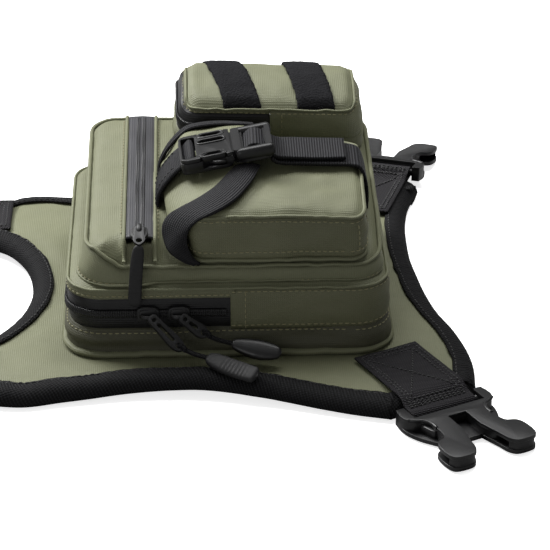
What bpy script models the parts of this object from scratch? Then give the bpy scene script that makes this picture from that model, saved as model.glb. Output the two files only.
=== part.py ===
"""Chest-rig safety harness vest, lying on its back, as separate sewn and moulded pieces.

Frame: metres, +Z is the chest side, -X the worn top (neck), -Y the wearer's right side.
The origin is the centre of the flat lining under the main pouch.
"""

import math

import bmesh
import bpy
from mathutils import Matrix, Vector
from mathutils.geometry import tessellate_polygon

MM = 0.001
GAP = 0.3

# Carrier panel (mm)
LINING_TOP = 1.2
PANEL_BOTTOM = 1.8
PANEL_TOP = 9.0
BINDING_WIDTH = 11.0
BINDING_CLOTH = 1.2
BINDING_BOTTOM = 0.3
SHOULDER_TIP_X = -172.0
SHOULDER_Y = 89.0
SHOULDER_HALF_WIDTH = 21.5

# Webbing and large buckles (mm)
WEBBING_WIDTH = 38.0
WEBBING_CLOTH = 1.6
PATCH_LENGTH = 56.0
PATCH_MIDDLE_Z = 11.6
BAR_Z = 5.0
RAISED_BAR_Z = 12.8
BUCKLE_DROOP = math.radians(9.0)
WAIST_RIGHT_BAR = (106.5, -133.0)
WAIST_RIGHT_HEADING = math.radians(-63.0)
WAIST_LEFT_BAR = (94.0, 144.0)
WAIST_LEFT_HEADING = math.radians(72.0)
WING_HALF_WIDTH = 25.0
BAR_RADIUS = 2.2
BAR_CLEARANCE = 0.35
TIP_TO_BAR = 8.0
BUCKLE_HALF_THICKNESS = 4.6
SLOT_HALF_WIDTH = 20.8
SLOT_FRONT = 7.5

# Main pouch (mm)
MAIN_X0 = -85.0
MAIN_X1 = 83.0
MAIN_HALF_Y = 79.0
MAIN_CORNER = 18.0
MAIN_BASE_Z = 9.3
HEM_OUT = 3.0
HEM_TOP_Z = 11.3
ZIP_LOW_Z = 25.5
ZIP_HIGH_Z = 43.5
MAIN_TOP_Z = 50.0
ZIP_END_X = 2.0
WALL = 2.2
COIL_WIDTH = 4.4
COIL_PROUD = 0.8

# Front pocket (mm)
FRONT_X0 = -75.0
FRONT_X1 = 79.0
FRONT_Y0 = -74.0
FRONT_Y1 = 77.0
FRONT_CORNER = 15.0
FRONT_NEAR_Z = 70.0
FRONT_RISE = 0.06
FRONT_PRESSED = 9.0
PRESSED_X0 = -40.5
PRESSED_X1 = -34.0
PRESSED_Y = 40.0
EDGE_INSET = 1.2
FRONT_ZIP_X = -47.0
FRONT_ZIP_WIDTH = 16.0
SHEET = 1.6

# Upper box pocket (mm)
UPPER_X0 = -27.0
UPPER_X1 = 75.0
UPPER_Y0 = 30.0
UPPER_Y1 = 80.0
UPPER_CORNER = 9.0
UPPER_ZIP_END_X = 25.0
UPPER_ZIP_HEIGHT = 13.0
SEAM_DROP = 3.6
LOOP_STRIP_WIDTH = 20.5

# Flap pocket (mm)
FLAP_X0 = -20.0
FLAP_X1 = 70.0
FLAP_Y0 = -73.0
FLAP_Y1 = 12.0
FLAP_CORNER = 8.0
FLAP_NEAR_Z = 88.0
FLAP_CROWN = 8.0
FLAP_MOUTH_CROWN = 3.0
FLAP_BASE_X = -26.5
FOLD_X = -31.0
FOLD_Z = 86.0
FLAP_CLOTH = 1.8
POCKET_CLOTH = 2.0

# Small closure buckle (mm)
CLOSURE_CENTRE = (1.0, -24.0)
CLOSURE_BOTTOM_Z = 99.6
FLAP_HINGE = (FOLD_X - 5.5, CLOSURE_CENTRE[1], FOLD_Z + 2.5)
CLOSURE_THICKNESS = 8.4
CLOSURE_TURN = math.radians(3.0)
CLOSURE_PITCH = math.radians(10.0)
SMALL_WEBBING = 25.0
WEBBING_NEAR_Y = -34.0
TAIL_END_X = 62.0
TAIL_SKEW = 0.12
FEMALE_BACK = -26.0
FEMALE_MOUTH = 2.0
MALE_END = 23.0
CLOSURE_HALF_WIDTH = 16.0

# Sliders and pulls (mm)
SLIDER_LENGTH = 11.5
SLIDER_WIDTH = 9.0
SLIDER_HEIGHT = 3.4
TAB_WIDTH = 7.0
TAB_THICKNESS = 1.6
PULL_CORD_RADIUS = 1.2
MAIN_SLIDER_X = (-43.0, -27.0)
MAIN_SLIDER_Z = (ZIP_LOW_Z + ZIP_HIGH_Z) / 2.0
UPPER_SLIDER_X = -6.0
MAIN_PULL_BENDS = (
    ((15.0, -8.5, -13.4), (28.0, -12.0, -16.7), (54.0, -29.0, -18.6)),
    ((12.0, -3.0, -8.5), (25.0, -5.5, -12.0), (51.0, -11.0, -15.5)),
)
UPPER_PULL_BENDS = ((0.0, 1.0, -20.0), (0.0, 1.5, -33.0), (0.0, 1.5, -61.0))
FRONT_TAB_BEND = (-3.0, -7.5, -32.0)

OLIVE = ("olive_fabric", (0.135, 0.145, 0.088), 0.62, 0.0)
BLACK_CLOTH = ("black_lining", (0.012, 0.012, 0.013), 0.85, 0.0)
BLACK_TAPE = ("black_binding", (0.014, 0.014, 0.015), 0.7, 0.0)
BLACK_WEB = ("black_webbing", (0.016, 0.016, 0.018), 0.75, 0.0)
BLACK_COAT = ("black_zip_tape", (0.010, 0.010, 0.011), 0.5, 0.0)
BLACK_COIL = ("black_zip_coil", (0.008, 0.008, 0.009), 0.4, 0.0)
BLACK_LOOP = ("black_loop_pile", (0.010, 0.010, 0.011), 0.95, 0.0)
BUCKLE_PLASTIC = ("buckle_plastic", (0.020, 0.020, 0.021), 0.45, 0.0)
SLIDER_METAL = ("slider_metal", (0.015, 0.015, 0.016), 0.3, 0.6)
PULL_RUBBER = ("pull_rubber", (0.014, 0.014, 0.015), 0.5, 0.0)
PULL_CORD = ("pull_cord", (0.012, 0.012, 0.012), 0.8, 0.0)


def clear_scene():
    for item in list(bpy.data.objects):
        bpy.data.objects.remove(item, do_unlink=True)


def material(finish):
    name, colour, roughness, metallic = finish
    found = bpy.data.materials.get(name)
    if found is None:
        found = bpy.data.materials.new(name)
        found.use_nodes = True
        shader = found.node_tree.nodes["Principled BSDF"]
        shader.inputs["Base Color"].default_value = (*colour, 1.0)
        shader.inputs["Roughness"].default_value = roughness
        shader.inputs["Metallic"].default_value = metallic
    return found


def make_object(name, vertices, faces, finish, origin=(0.0, 0.0, 0.0), sharp=35.0):
    """Build one closed object from points in mm; its origin is put at origin (mm)."""
    base = Vector(origin)
    mesh = bpy.data.meshes.new(name)
    mesh.from_pydata([(Vector(v) - base) * MM for v in vertices], [], faces)
    work = bmesh.new()
    work.from_mesh(mesh)
    bmesh.ops.recalc_face_normals(work, faces=work.faces)
    work.to_mesh(mesh)
    work.free()
    mesh.shade_smooth()
    mesh.set_sharp_from_angle(angle=math.radians(sharp))
    mesh.materials.append(material(finish))
    thing = bpy.data.objects.new(name, mesh)
    thing.location = base * MM
    bpy.context.collection.objects.link(thing)
    return thing


# ---------------------------------------------------------------- plan-view curves

def smooth_curve(points, steps):
    """Catmull-Rom curve through an open list of points of any dimension."""
    knots = [Vector(p) for p in points]
    knots.insert(0, 2.0 * knots[0] - knots[1])
    knots.append(2.0 * knots[-1] - knots[-2])
    curve = []
    for i in range(1, len(knots) - 2):
        a, b, c, d = knots[i - 1:i + 3]
        for k in range(steps):
            t = k / steps
            curve.append(0.5 * ((2.0 * b) + (c - a) * t + (2.0 * a - 5.0 * b + 4.0 * c - d) * t ** 2
                                + (3.0 * b - a - 3.0 * c + d) * t ** 3))
    curve.append(knots[-2])
    return curve


def rounded_rectangle(x0, x1, y0, y1, radius, corner_steps=5, side_steps=4):
    """Counter-clockwise outline whose straight sides are split into side_steps."""
    centres = [(x1 - radius, y0 + radius, -90.0), (x1 - radius, y1 - radius, 0.0),
               (x0 + radius, y1 - radius, 90.0), (x0 + radius, y0 + radius, 180.0)]
    corners = []
    for cx, cy, start in centres:
        arc = []
        for k in range(corner_steps + 1):
            angle = math.radians(start + 90.0 * k / corner_steps)
            arc.append(Vector((cx + radius * math.cos(angle), cy + radius * math.sin(angle))))
        corners.append(arc)
    outline = []
    for i, arc in enumerate(corners):
        outline.extend(arc)
        following = corners[(i + 1) % 4][0]
        for k in range(1, side_steps):
            outline.append(arc[-1].lerp(following, k / side_steps))
    return outline


def inset_path(path, distance, closed):
    """Move each point of a path to its left by distance."""
    count = len(path)
    moved = []
    for i, point in enumerate(path):
        before = path[i - 1] if (closed or i > 0) else None
        after = path[(i + 1) % count] if (closed or i < count - 1) else None
        normals = []
        for a, b in ((before, point), (point, after)):
            if a is not None and b is not None:
                run = (b - a).normalized()
                normals.append(Vector((-run.y, run.x)))
        mitre = sum(normals, Vector((0.0, 0.0))).normalized()
        mitre /= max(0.5, mitre.dot(normals[0]))
        moved.append(point + mitre * distance)
    return moved


def height_at(level, point):
    """A level is a number, or a function of x and y."""
    return level(point.x, point.y) if callable(level) else level


def flat_level(z):
    return lambda x, y: z


def raised(level, amount):
    """The same surface, moved up by amount."""
    return lambda x, y: level(x, y) + amount


# ---------------------------------------------------------------- solid builders

def swept_wall(name, path, section, closed, finish):
    """Sweep a section of (inset, level) corners along a plan path, level by level."""
    rings = []
    for inset, level in section:
        rings.append([(p.x, p.y, height_at(level, p)) for p in inset_path(path, inset, closed)])
    corners = len(section)
    count = len(path)
    vertices = [corner for station in zip(*rings) for corner in station]
    faces = []
    for i in range(count if closed else count - 1):
        j = (i + 1) % count
        for k in range(corners):
            m = (k + 1) % corners
            faces.append((i * corners + k, j * corners + k, j * corners + m, i * corners + m))
    if not closed:
        faces.append(tuple(range(corners)))
        faces.append(tuple((count - 1) * corners + k for k in range(corners)))
    return make_object(name, vertices, faces, finish)


def wall_section(low, high, thickness=WALL):
    return [(0.0, low), (0.0, high), (thickness, high), (thickness, low)]


def coil_section(low):
    """A zip coil standing just off the outside of a wall, from level low up."""
    high = raised(low, COIL_WIDTH)
    outside = -GAP - COIL_PROUD
    return [(outside, low), (outside, high), (-GAP, high), (-GAP, low)]


def shell_cap(name, outline, profile, finish):
    """A cap with a hollow under it: profile rings are (inset, scale, level).

    The rings run up the outside to the middle, where the profile holds None, and back down.
    """
    centre = sum(outline, Vector((0.0, 0.0))) / len(outline)
    count = len(outline)
    vertices = []
    faces = []
    halves = [profile[:profile.index(None)], profile[profile.index(None) + 1:]]
    starts = []
    for half in halves:
        for inset, scale, level in half:
            starts.append(len(vertices))
            for point in inset_path(outline, inset, True):
                place = centre + (point - centre) * scale
                vertices.append((place.x, place.y, height_at(level, place)))
    split = len(halves[0])
    tips = []
    for level in (halves[0][-1][2], halves[1][0][2]):
        tips.append(len(vertices))
        vertices.append((centre.x, centre.y, height_at(level, centre)))
    order = starts + [starts[0]]
    for r in range(len(starts)):
        if r == split - 1:
            continue
        for i in range(count):
            j = (i + 1) % count
            faces.append((order[r] + i, order[r] + j, order[r + 1] + j, order[r + 1] + i))
    for start, tip in ((starts[split - 1], tips[0]), (starts[split], tips[1])):
        for i in range(count):
            faces.append((start + i, start + (i + 1) % count, tip))
    return make_object(name, vertices, faces, finish)


def slab_mesh(outer, holes, low, high):
    """Vertices and faces of a flat plate with holes."""
    loops = [outer] + list(holes)
    flat = [[Vector((p[0], p[1], 0.0)) for p in loop] for loop in loops]
    caps = tessellate_polygon(flat)
    points = [p for loop in flat for p in loop]
    total = len(points)
    vertices = [(p.x, p.y, low) for p in points] + [(p.x, p.y, high) for p in points]
    faces = [tuple(reversed(tri)) for tri in caps]
    faces += [tuple(k + total for k in tri) for tri in caps]
    start = 0
    for loop in flat:
        size = len(loop)
        for i in range(size):
            a = start + i
            b = start + (i + 1) % size
            faces.append((a, b, b + total, a + total))
        start += size
    return vertices, faces


def slab(name, outer, low, high, finish):
    return make_object(name, *slab_mesh(outer, (), low, high), finish)


def sheet_solid(name, grid, thickness, finish, origin=(0.0, 0.0, 0.0)):
    """A solid sheet: grid rows of 3D points are its underside, thickness goes along the normal."""
    rows = len(grid)
    columns = len(grid[0])
    low = [[Vector(p) for p in row] for row in grid]
    high = []
    for i in range(rows):
        line = []
        for j in range(columns):
            along = low[min(i + 1, rows - 1)][j] - low[max(i - 1, 0)][j]
            across = low[i][min(j + 1, columns - 1)] - low[i][max(j - 1, 0)]
            line.append(low[i][j] + along.cross(across).normalized() * thickness)
        high.append(line)
    vertices = [p for layer in (low, high) for row in layer for p in row]
    top = rows * columns
    faces = []
    for i in range(rows - 1):
        for j in range(columns - 1):
            a = i * columns + j
            quad = (a, a + columns, a + columns + 1, a + 1)
            faces.append(tuple(reversed(quad)))
            faces.append(tuple(k + top for k in quad))
    rim = [j for j in range(columns)]
    rim += [i * columns + columns - 1 for i in range(1, rows)]
    rim += [(rows - 1) * columns + j for j in range(columns - 2, -1, -1)]
    rim += [i * columns for i in range(rows - 2, 0, -1)]
    for i, a in enumerate(rim):
        b = rim[(i + 1) % len(rim)]
        faces.append((a, b, b + top, a + top))
    return make_object(name, vertices, faces, finish, origin)


def ribbon(name, centreline, side, width, thickness, finish, origin=(0.0, 0.0, 0.0)):
    """A strap: underside centreline points, a unit vector across it, and its width."""
    across = Vector(side)
    grid = [[Vector(p) - across * width / 2.0, Vector(p) + across * width / 2.0]
            for p in centreline]
    return sheet_solid(name, grid, thickness, finish, origin)


def boolean(thing, cutter_mesh, operation, name):
    """Cut or join a closed shape given as (vertices, faces) in the world frame, in mm."""
    vertices, faces = cutter_mesh
    tool = make_object(name, vertices, faces, BUCKLE_PLASTIC)
    tool.hide_render = True
    tool.display_type = "WIRE"
    step = thing.modifiers.new(name, "BOOLEAN")
    step.operation = operation
    step.solver = "EXACT"
    step.object = tool
    return tool


def place_mesh(mesh, matrix):
    vertices, faces = mesh
    return [matrix @ Vector(v) for v in vertices], faces


def box_mesh(x0, x1, y0, y1, z0, z1):
    return slab_mesh([(x0, y0), (x1, y0), (x1, y1), (x0, y1)], (), z0, z1)


def rod_mesh(start, end, radius, sides=12):
    """A round bar between two points."""
    a = Vector(start)
    b = Vector(end)
    turn = (b - a).to_track_quat("Z", "Y").to_matrix()
    vertices = []
    for base in (a, b):
        for k in range(sides):
            angle = 2.0 * math.pi * k / sides
            vertices.append(base + turn @ Vector((radius * math.cos(angle), radius * math.sin(angle), 0.0)))
    faces = [tuple(range(sides)), tuple(range(sides, 2 * sides))]
    for k in range(sides):
        m = (k + 1) % sides
        faces.append((k, m, m + sides, k + sides))
    return vertices, faces


# ---------------------------------------------------------------- carrier

def wing_frame(centre, bar_z, heading, droop):
    """The bar centre of a wing, its outward direction, the direction across it and its droop."""
    outward = Vector((math.cos(heading), math.sin(heading), 0.0))
    across = Vector((-outward.y, outward.x, 0.0))
    return Vector((centre[0], centre[1], bar_z)), outward, across, droop


WINGS = {
    "waist_right": wing_frame(WAIST_RIGHT_BAR, BAR_Z, WAIST_RIGHT_HEADING, 0.0),
    "waist_left": wing_frame(WAIST_LEFT_BAR, RAISED_BAR_Z, WAIST_LEFT_HEADING, BUCKLE_DROOP),
    "shoulder_right": wing_frame((SHOULDER_TIP_X - TIP_TO_BAR, -SHOULDER_Y), BAR_Z, math.pi, 0.0),
    "shoulder_left": wing_frame((SHOULDER_TIP_X - TIP_TO_BAR, SHOULDER_Y), BAR_Z, math.pi, 0.0),
}


def wing_corner(wing, side):
    """A corner of a wing's straight end; side is +1 or -1 across the wing."""
    bar, outward, across, _ = WINGS[wing]
    corner = bar - outward * TIP_TO_BAR + across * side * WING_HALF_WIDTH
    return (corner.x, corner.y)


def carrier_edges():
    """The four bound edges, counter-clockwise, between the wing ends."""
    inner = SHOULDER_Y - SHOULDER_HALF_WIDTH
    outer = SHOULDER_Y + SHOULDER_HALF_WIDTH
    right = [(SHOULDER_TIP_X, -outer), (-150, -110), (-134, -112), (-120, -117), (-104, -118),
             (-84, -114), (-51, -109), (-17, -109), (17, -117), (46, -127), (64, -133),
             wing_corner("waist_right", -1)]
    waist = [wing_corner("waist_right", 1), (126, -86), (121, -60), (113, -37), (108, -14),
             (105, 12), (103, 40), (104, 82), (109, 110), wing_corner("waist_left", -1)]
    left = [wing_corner("waist_left", 1), (56, 136), (41, 128), (17, 119), (-17, 111),
            (-51, 109), (-84, 115), (-104, 120), (-120, 119), (-134, 112), (-150, 110),
            (SHOULDER_TIP_X, outer)]
    neck = [(SHOULDER_TIP_X, inner), (-152, 66), (-136, 61), (-124, 50), (-112, 27), (-107, 0),
            (-112, -27), (-124, -50), (-136, -61), (-152, -66), (SHOULDER_TIP_X, -inner)]
    return {"right_side": smooth_curve(right, 3), "waist": smooth_curve(waist, 3),
            "left_side": smooth_curve(left, 3), "neck": smooth_curve(neck, 4)}


def joined_outline(edges, inset):
    outline = []
    for name in ("right_side", "waist", "left_side", "neck"):
        outline.extend(inset_path(edges[name], inset, False))
    return outline


def build_carrier():
    edges = carrier_edges()
    panel = joined_outline(edges, BINDING_CLOTH + GAP)
    slab("vest_panel", panel, PANEL_BOTTOM, PANEL_TOP, OLIVE)
    lining = joined_outline(edges, BINDING_WIDTH + GAP)
    slab("back_lining", lining, 0.0, LINING_TOP, BLACK_CLOTH)
    top = PANEL_TOP + GAP
    section = [(0.0, BINDING_BOTTOM), (0.0, top + BINDING_CLOTH), (BINDING_WIDTH, top + BINDING_CLOTH),
               (BINDING_WIDTH, top), (BINDING_CLOTH, top), (BINDING_CLOTH, PANEL_BOTTOM - GAP),
               (BINDING_WIDTH, PANEL_BOTTOM - GAP), (BINDING_WIDTH, BINDING_BOTTOM)]
    for name, edge in edges.items():
        swept_wall(name + "_binding", edge, section, False, BLACK_TAPE)


def patch_profile(bar_z):
    """Centre line of a webbing patch as (distance out from the bar, height)."""
    loop = BAR_RADIUS + BAR_CLEARANCE + WEBBING_CLOTH / 2.0
    step = bar_z + loop - PATCH_MIDDLE_Z
    profile = [(-PATCH_LENGTH, PATCH_MIDDLE_Z), (-7.6, PATCH_MIDDLE_Z),
               (-4.6, PATCH_MIDDLE_Z + 0.2 * step), (-2.4, PATCH_MIDDLE_Z + 0.7 * step)]
    for degrees in range(105, -91, -28):
        angle = math.radians(degrees)
        profile.append((loop * math.cos(angle), bar_z + loop * math.sin(angle)))
    profile.append((1.0 - TIP_TO_BAR, bar_z - loop))
    return profile


def build_patch(wing):
    bar, outward, across, _ = WINGS[wing]
    half = WEBBING_CLOTH / 2.0
    profile = [Vector(p) for p in patch_profile(bar.z)]
    layers = (inset_path(profile, half, False), inset_path(profile, -half, False))
    stations = len(profile)
    vertices = []
    for side in (-WEBBING_WIDTH / 2.0, WEBBING_WIDTH / 2.0):
        for layer in layers:
            for reach, height in layer:
                place = bar + outward * reach + across * side
                vertices.append((place.x, place.y, height))
    faces = []
    for side in range(2):
        base = side * 2 * stations
        for i in range(stations - 1):
            faces.append((base + i, base + i + 1, base + stations + i + 1, base + stations + i))
    for layer in range(2):
        a = layer * stations
        b = a + 2 * stations
        for i in range(stations - 1):
            faces.append((a + i, a + i + 1, b + i + 1, b + i))
    for i in (0, stations - 1):
        faces.append((i, stations + i, 3 * stations + i, 2 * stations + i))
    make_object("strap_patch_" + wing, vertices, faces, BLACK_WEB)


def buckle_outline():
    """Half outline of a large male buckle as (across, out from the bar), mirrored below."""
    half = [(SLOT_HALF_WIDTH, SLOT_FRONT), (SLOT_HALF_WIDTH, -3.5), (25.4, -3.5), (26.5, 4.0),
            (26.0, 10.0), (23.5, 17.0), (19.5, 24.0), (16.6, 28.5), (18.5, 31.5), (23.0, 34.5),
            (25.2, 40.0), (25.0, 46.0), (21.5, 50.4), (15.0, 51.4), (10.4, 48.5), (9.0, 42.0),
            (6.8, 35.0), (5.2, 28.0), (5.2, 13.5)]
    return half + [(-x, y) for x, y in reversed(half)]


def buckle_hole(side, steps=10):
    """The oval finger hole in one shoulder of a large buckle."""
    return [(side * (16.2 + 4.8 * math.cos(2.0 * math.pi * k / steps)),
             17.5 + 6.0 * math.sin(2.0 * math.pi * k / steps)) for k in range(steps)]


def build_buckle(wing):
    bar, outward, across, droop = WINGS[wing]
    frame = Matrix((across, outward, Vector((0.0, 0.0, 1.0)))).transposed().to_4x4()
    frame = frame @ Matrix.Rotation(-droop, 4, "X")
    frame.translation = bar
    body = slab_mesh(buckle_outline(), [buckle_hole(1), buckle_hole(-1)],
                     -BUCKLE_HALF_THICKNESS, BUCKLE_HALF_THICKNESS)
    vertices, faces = place_mesh(body, frame)
    thing = make_object("buckle_" + wing, vertices, faces, BUCKLE_PLASTIC, origin=bar)
    reach = SLOT_HALF_WIDTH + 2.0
    rod = place_mesh(rod_mesh((-reach, 0.0, 0.0), (reach, 0.0, 0.0), BAR_RADIUS), frame)
    boolean(thing, rod, "UNION", "bar_" + wing)


# ---------------------------------------------------------------- main pouch

def split_outline(outline, limit_x):
    """Cut a counter-clockwise outline at x = limit_x into its left and right runs."""
    count = len(outline)
    crossings = []
    for i in range(count):
        a = outline[i]
        b = outline[(i + 1) % count]
        if (a.x - limit_x) * (b.x - limit_x) < 0.0:
            crossings.append((i, a.lerp(b, (limit_x - a.x) / (b.x - a.x)), b.x < a.x))
    runs = {}
    for index, point, to_left in crossings:
        other = next(c for c in crossings if c[0] != index)
        run = [point]
        k = (index + 1) % count
        while k != (other[0] + 1) % count:
            run.append(outline[k])
            k = (k + 1) % count
        run.append(other[1])
        runs["left" if to_left else "right"] = run
    return runs["left"], runs["right"]


def shortened(run, amount):
    """Take amount off both ends of an open run."""
    trimmed = list(run)
    for _ in range(2):
        left = amount
        while (trimmed[1] - trimmed[0]).length <= left:
            left -= (trimmed[1] - trimmed[0]).length
            trimmed.pop(0)
        trimmed[0] = trimmed[0] + (trimmed[1] - trimmed[0]).normalized() * left
        trimmed.reverse()
    return trimmed


def main_outline():
    return rounded_rectangle(MAIN_X0, MAIN_X1, -MAIN_HALF_Y, MAIN_HALF_Y, MAIN_CORNER)


def build_main_pouch():
    outline = main_outline()
    hem = [(-HEM_OUT, MAIN_BASE_Z), (-HEM_OUT, HEM_TOP_Z), (0.0, HEM_TOP_Z + 0.6),
           (0.0, ZIP_LOW_Z - GAP), (WALL, ZIP_LOW_Z - GAP), (WALL, MAIN_BASE_Z)]
    swept_wall("main_lower_gusset", outline, hem, True, OLIVE)
    left, right = split_outline(outline, ZIP_END_X)
    band = wall_section(ZIP_LOW_Z, ZIP_HIGH_Z)
    swept_wall("main_zip_band", shortened(left, GAP), band, False, BLACK_COAT)
    swept_wall("main_end_gusset", right, band, False, OLIVE)
    coil_low = flat_level(MAIN_SLIDER_Z - COIL_WIDTH / 2.0)
    swept_wall("main_zip_coil", shortened(left, 2.0), coil_section(coil_low), False, BLACK_COIL)
    rim = ZIP_HIGH_Z + GAP
    profile = [(0.0, 1.0, rim), (0.0, 1.0, MAIN_TOP_Z - 3.5), (1.2, 1.0, MAIN_TOP_Z - 1.0),
               (4.0, 1.0, MAIN_TOP_Z), None,
               (5.0, 1.0, MAIN_TOP_Z - WALL), (WALL, 1.0, MAIN_TOP_Z - 4.5), (WALL, 1.0, rim)]
    shell_cap("main_front_panel", outline, profile, OLIVE)


# ---------------------------------------------------------------- front pocket

def ease(value):
    """Smooth step from 0 to 1."""
    clipped = min(1.0, max(0.0, value))
    return clipped * clipped * (3.0 - 2.0 * clipped)


def front_surface(x, y):
    """Top of the front pocket: it rises away from its near edge, and the flap pocket presses it down."""
    level = FRONT_NEAR_Z + FRONT_RISE * (y - FRONT_Y0)
    pressed = ease((x - PRESSED_X0) / (PRESSED_X1 - PRESSED_X0)) * (1.0 - ease((y - FRONT_Y0) / PRESSED_Y))
    return level - FRONT_PRESSED * pressed


FRONT_UNDER = raised(front_surface, -SHEET)


def front_outline():
    return rounded_rectangle(FRONT_X0, FRONT_X1, FRONT_Y0, FRONT_Y1, FRONT_CORNER, 5, 10)


def spread(start, end, steps):
    """Evenly spaced values from start to end."""
    return [start + (end - start) * i / steps for i in range(steps + 1)]


def clipped_grid(columns, rows, level):
    """Grid over the front pocket at the given x values, kept inside its rounded corners."""
    grid = []
    for x in columns:
        from_corner = max(FRONT_X0 + FRONT_CORNER - x, x - FRONT_X1 + FRONT_CORNER, 0.0)
        cut = FRONT_CORNER - math.sqrt(max(FRONT_CORNER ** 2 - from_corner ** 2, 0.0))
        low = FRONT_Y0 + cut
        high = FRONT_Y1 - cut
        line = []
        for j in range(rows + 1):
            y = low + (high - low) * j / rows
            line.append((x, y, level(x, y)))
        grid.append(line)
    return grid


def build_front_pocket():
    wall = wall_section(MAIN_TOP_Z + GAP, raised(FRONT_UNDER, -1.0))
    swept_wall("front_pocket_gusset", front_outline(), wall, True, OLIVE)
    half = FRONT_ZIP_WIDTH / 2.0
    left_edge = FRONT_ZIP_X - half
    right_edge = FRONT_ZIP_X + half
    edge_columns = spread(FRONT_X0 + EDGE_INSET, left_edge - GAP, 4)
    sheet_solid("front_pocket_edge_face", clipped_grid(edge_columns, 6, FRONT_UNDER), SHEET, OLIVE)
    band_columns = spread(left_edge, right_edge, 2)
    sheet_solid("front_zip_band", clipped_grid(band_columns, 8, FRONT_UNDER), SHEET, BLACK_COAT)
    step_columns = spread(right_edge + GAP, PRESSED_X1 + 0.5, 3)
    flat_columns = spread(PRESSED_X1 + 10.0, FRONT_X1 - EDGE_INSET, 9)
    face = clipped_grid(step_columns + flat_columns, 12, FRONT_UNDER)
    sheet_solid("front_pocket_face", face, SHEET, OLIVE)
    coil_line = []
    for y in spread(FRONT_Y0 + 8.0, FRONT_Y1 - 4.0, 8):
        coil_line.append((FRONT_ZIP_X, y, front_surface(FRONT_ZIP_X, y) + GAP))
    ribbon("front_zip_coil", coil_line, (-1.0, 0.0, 0.0), COIL_WIDTH, COIL_PROUD, BLACK_COIL)
    near_z = front_surface(FRONT_ZIP_X, FRONT_Y0)
    wall_y = FRONT_Y0 - GAP
    garage = [(FRONT_ZIP_X, wall_y, MAIN_TOP_Z + 3.0), (FRONT_ZIP_X, wall_y, near_z - 4.0)]
    ribbon("front_zip_garage", garage, (-1.0, 0.0, 0.0), FRONT_ZIP_WIDTH, 1.0, OLIVE)


# ---------------------------------------------------------------- upper box pocket

def upper_surface(x, y):
    """Top of the upper pocket: crowned across, a little lower at the right end."""
    across = (y - UPPER_Y0) / (UPPER_Y1 - UPPER_Y0)
    along = (x - UPPER_X0) / (UPPER_X1 - UPPER_X0)
    edge = 104.0 + 6.0 * across - 3.0 * along
    return edge + 5.0 * math.sin(math.pi * min(1.0, max(0.0, across))) ** 0.7


def build_upper_pocket():
    outline = rounded_rectangle(UPPER_X0, UPPER_X1, UPPER_Y0, UPPER_Y1, UPPER_CORNER, 4, 4)
    seam = raised(upper_surface, -SEAM_DROP)
    zip_low = raised(seam, -UPPER_ZIP_HEIGHT)
    wall = wall_section(raised(front_surface, GAP), raised(zip_low, -GAP))
    swept_wall("upper_pocket_gusset", outline, wall, True, OLIVE)
    left, right = split_outline(outline, UPPER_ZIP_END_X)
    band = wall_section(zip_low, seam)
    swept_wall("upper_zip_band", shortened(left, GAP), band, False, BLACK_COAT)
    swept_wall("upper_end_gusset", right, band, False, OLIVE)
    coil_low = raised(zip_low, (UPPER_ZIP_HEIGHT - COIL_WIDTH) / 2.0)
    swept_wall("upper_zip_coil", shortened(left, 2.0), coil_section(coil_low), False, BLACK_COIL)
    rim = raised(seam, GAP)
    under = raised(upper_surface, -2.6)
    profile = [(0.0, 1.0, rim), (1.4, 1.0, raised(upper_surface, -1.2)), (5.0, 1.0, upper_surface),
               (5.0, 0.6, upper_surface), (5.0, 0.25, upper_surface), None,
               (5.0, 0.6, under), (WALL + 0.6, 1.0, rim)]
    shell_cap("upper_pocket_top", outline, profile, OLIVE)
    build_loop_strips()


def build_loop_strips():
    for name, near_x, far_x in (("loop_strip_inner", 8.0, -1.0), ("loop_strip_outer", 49.0, 43.0)):
        grid = []
        for j in range(9):
            t = j / 8
            y = UPPER_Y0 + 6.5 + (UPPER_Y1 - UPPER_Y0 - 13.0) * t
            middle = near_x + (far_x - near_x) * t
            line = []
            for k in (-0.5, 0.0, 0.5):
                x = middle + k * LOOP_STRIP_WIDTH
                line.append((x, y, upper_surface(x, y) + 2.0 * GAP))
            grid.append(line[::-1])
        sheet_solid(name, grid, 2.0, BLACK_LOOP)


# ---------------------------------------------------------------- flap pocket

def flap_surface(x, y):
    """Crowned top of the flap pocket."""
    across = (y - FLAP_Y0) / 105.0
    along = (x - FLAP_X0) / (FLAP_X1 - FLAP_X0)
    rise = FLAP_MOUTH_CROWN + (FLAP_CROWN - FLAP_MOUTH_CROWN) * ease((x - FLAP_X0) / 32.0)
    crown = math.sin(math.pi * min(1.0, max(0.0, across)))
    return FLAP_NEAR_Z + rise * crown - 2.0 * max(0.0, along - 0.6) / 0.4


def build_flap_pocket():
    outline = rounded_rectangle(FLAP_X0 - FLAP_CORNER - 6.0, FLAP_X1, FLAP_Y0, FLAP_Y1, FLAP_CORNER, 4, 6)
    walls = split_outline(outline, FLAP_X0)[1]
    section = wall_section(raised(front_surface, 1.2), raised(flap_surface, -POCKET_CLOTH - GAP))
    swept_wall("flap_pocket_walls", walls, section, False, OLIVE)
    grid = []
    for x in spread(FLAP_X0, FLAP_X1 - 1.0, 8):
        from_corner = max(0.0, x - FLAP_X1 + FLAP_CORNER)
        cut = FLAP_CORNER - math.sqrt(max(FLAP_CORNER ** 2 - from_corner ** 2, 0.0))
        grid.append([(x, y, flap_surface(x, y) - POCKET_CLOTH)
                     for y in spread(FLAP_Y0 + cut, FLAP_Y1 - cut, 8)])
    sheet_solid("flap_pocket_top", grid, POCKET_CLOTH, OLIVE)


def flap_near_y(x):
    """Near edge of the flap on top of the pocket: it narrows towards the buckle."""
    return -61.0 + 24.0 * ease((x - FOLD_X) / 46.0)


def flap_far_y(x):
    return 8.0 + 8.0 * math.sin(math.pi * min(1.0, max(0.0, (x - FOLD_X) / 60.0)))


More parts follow.
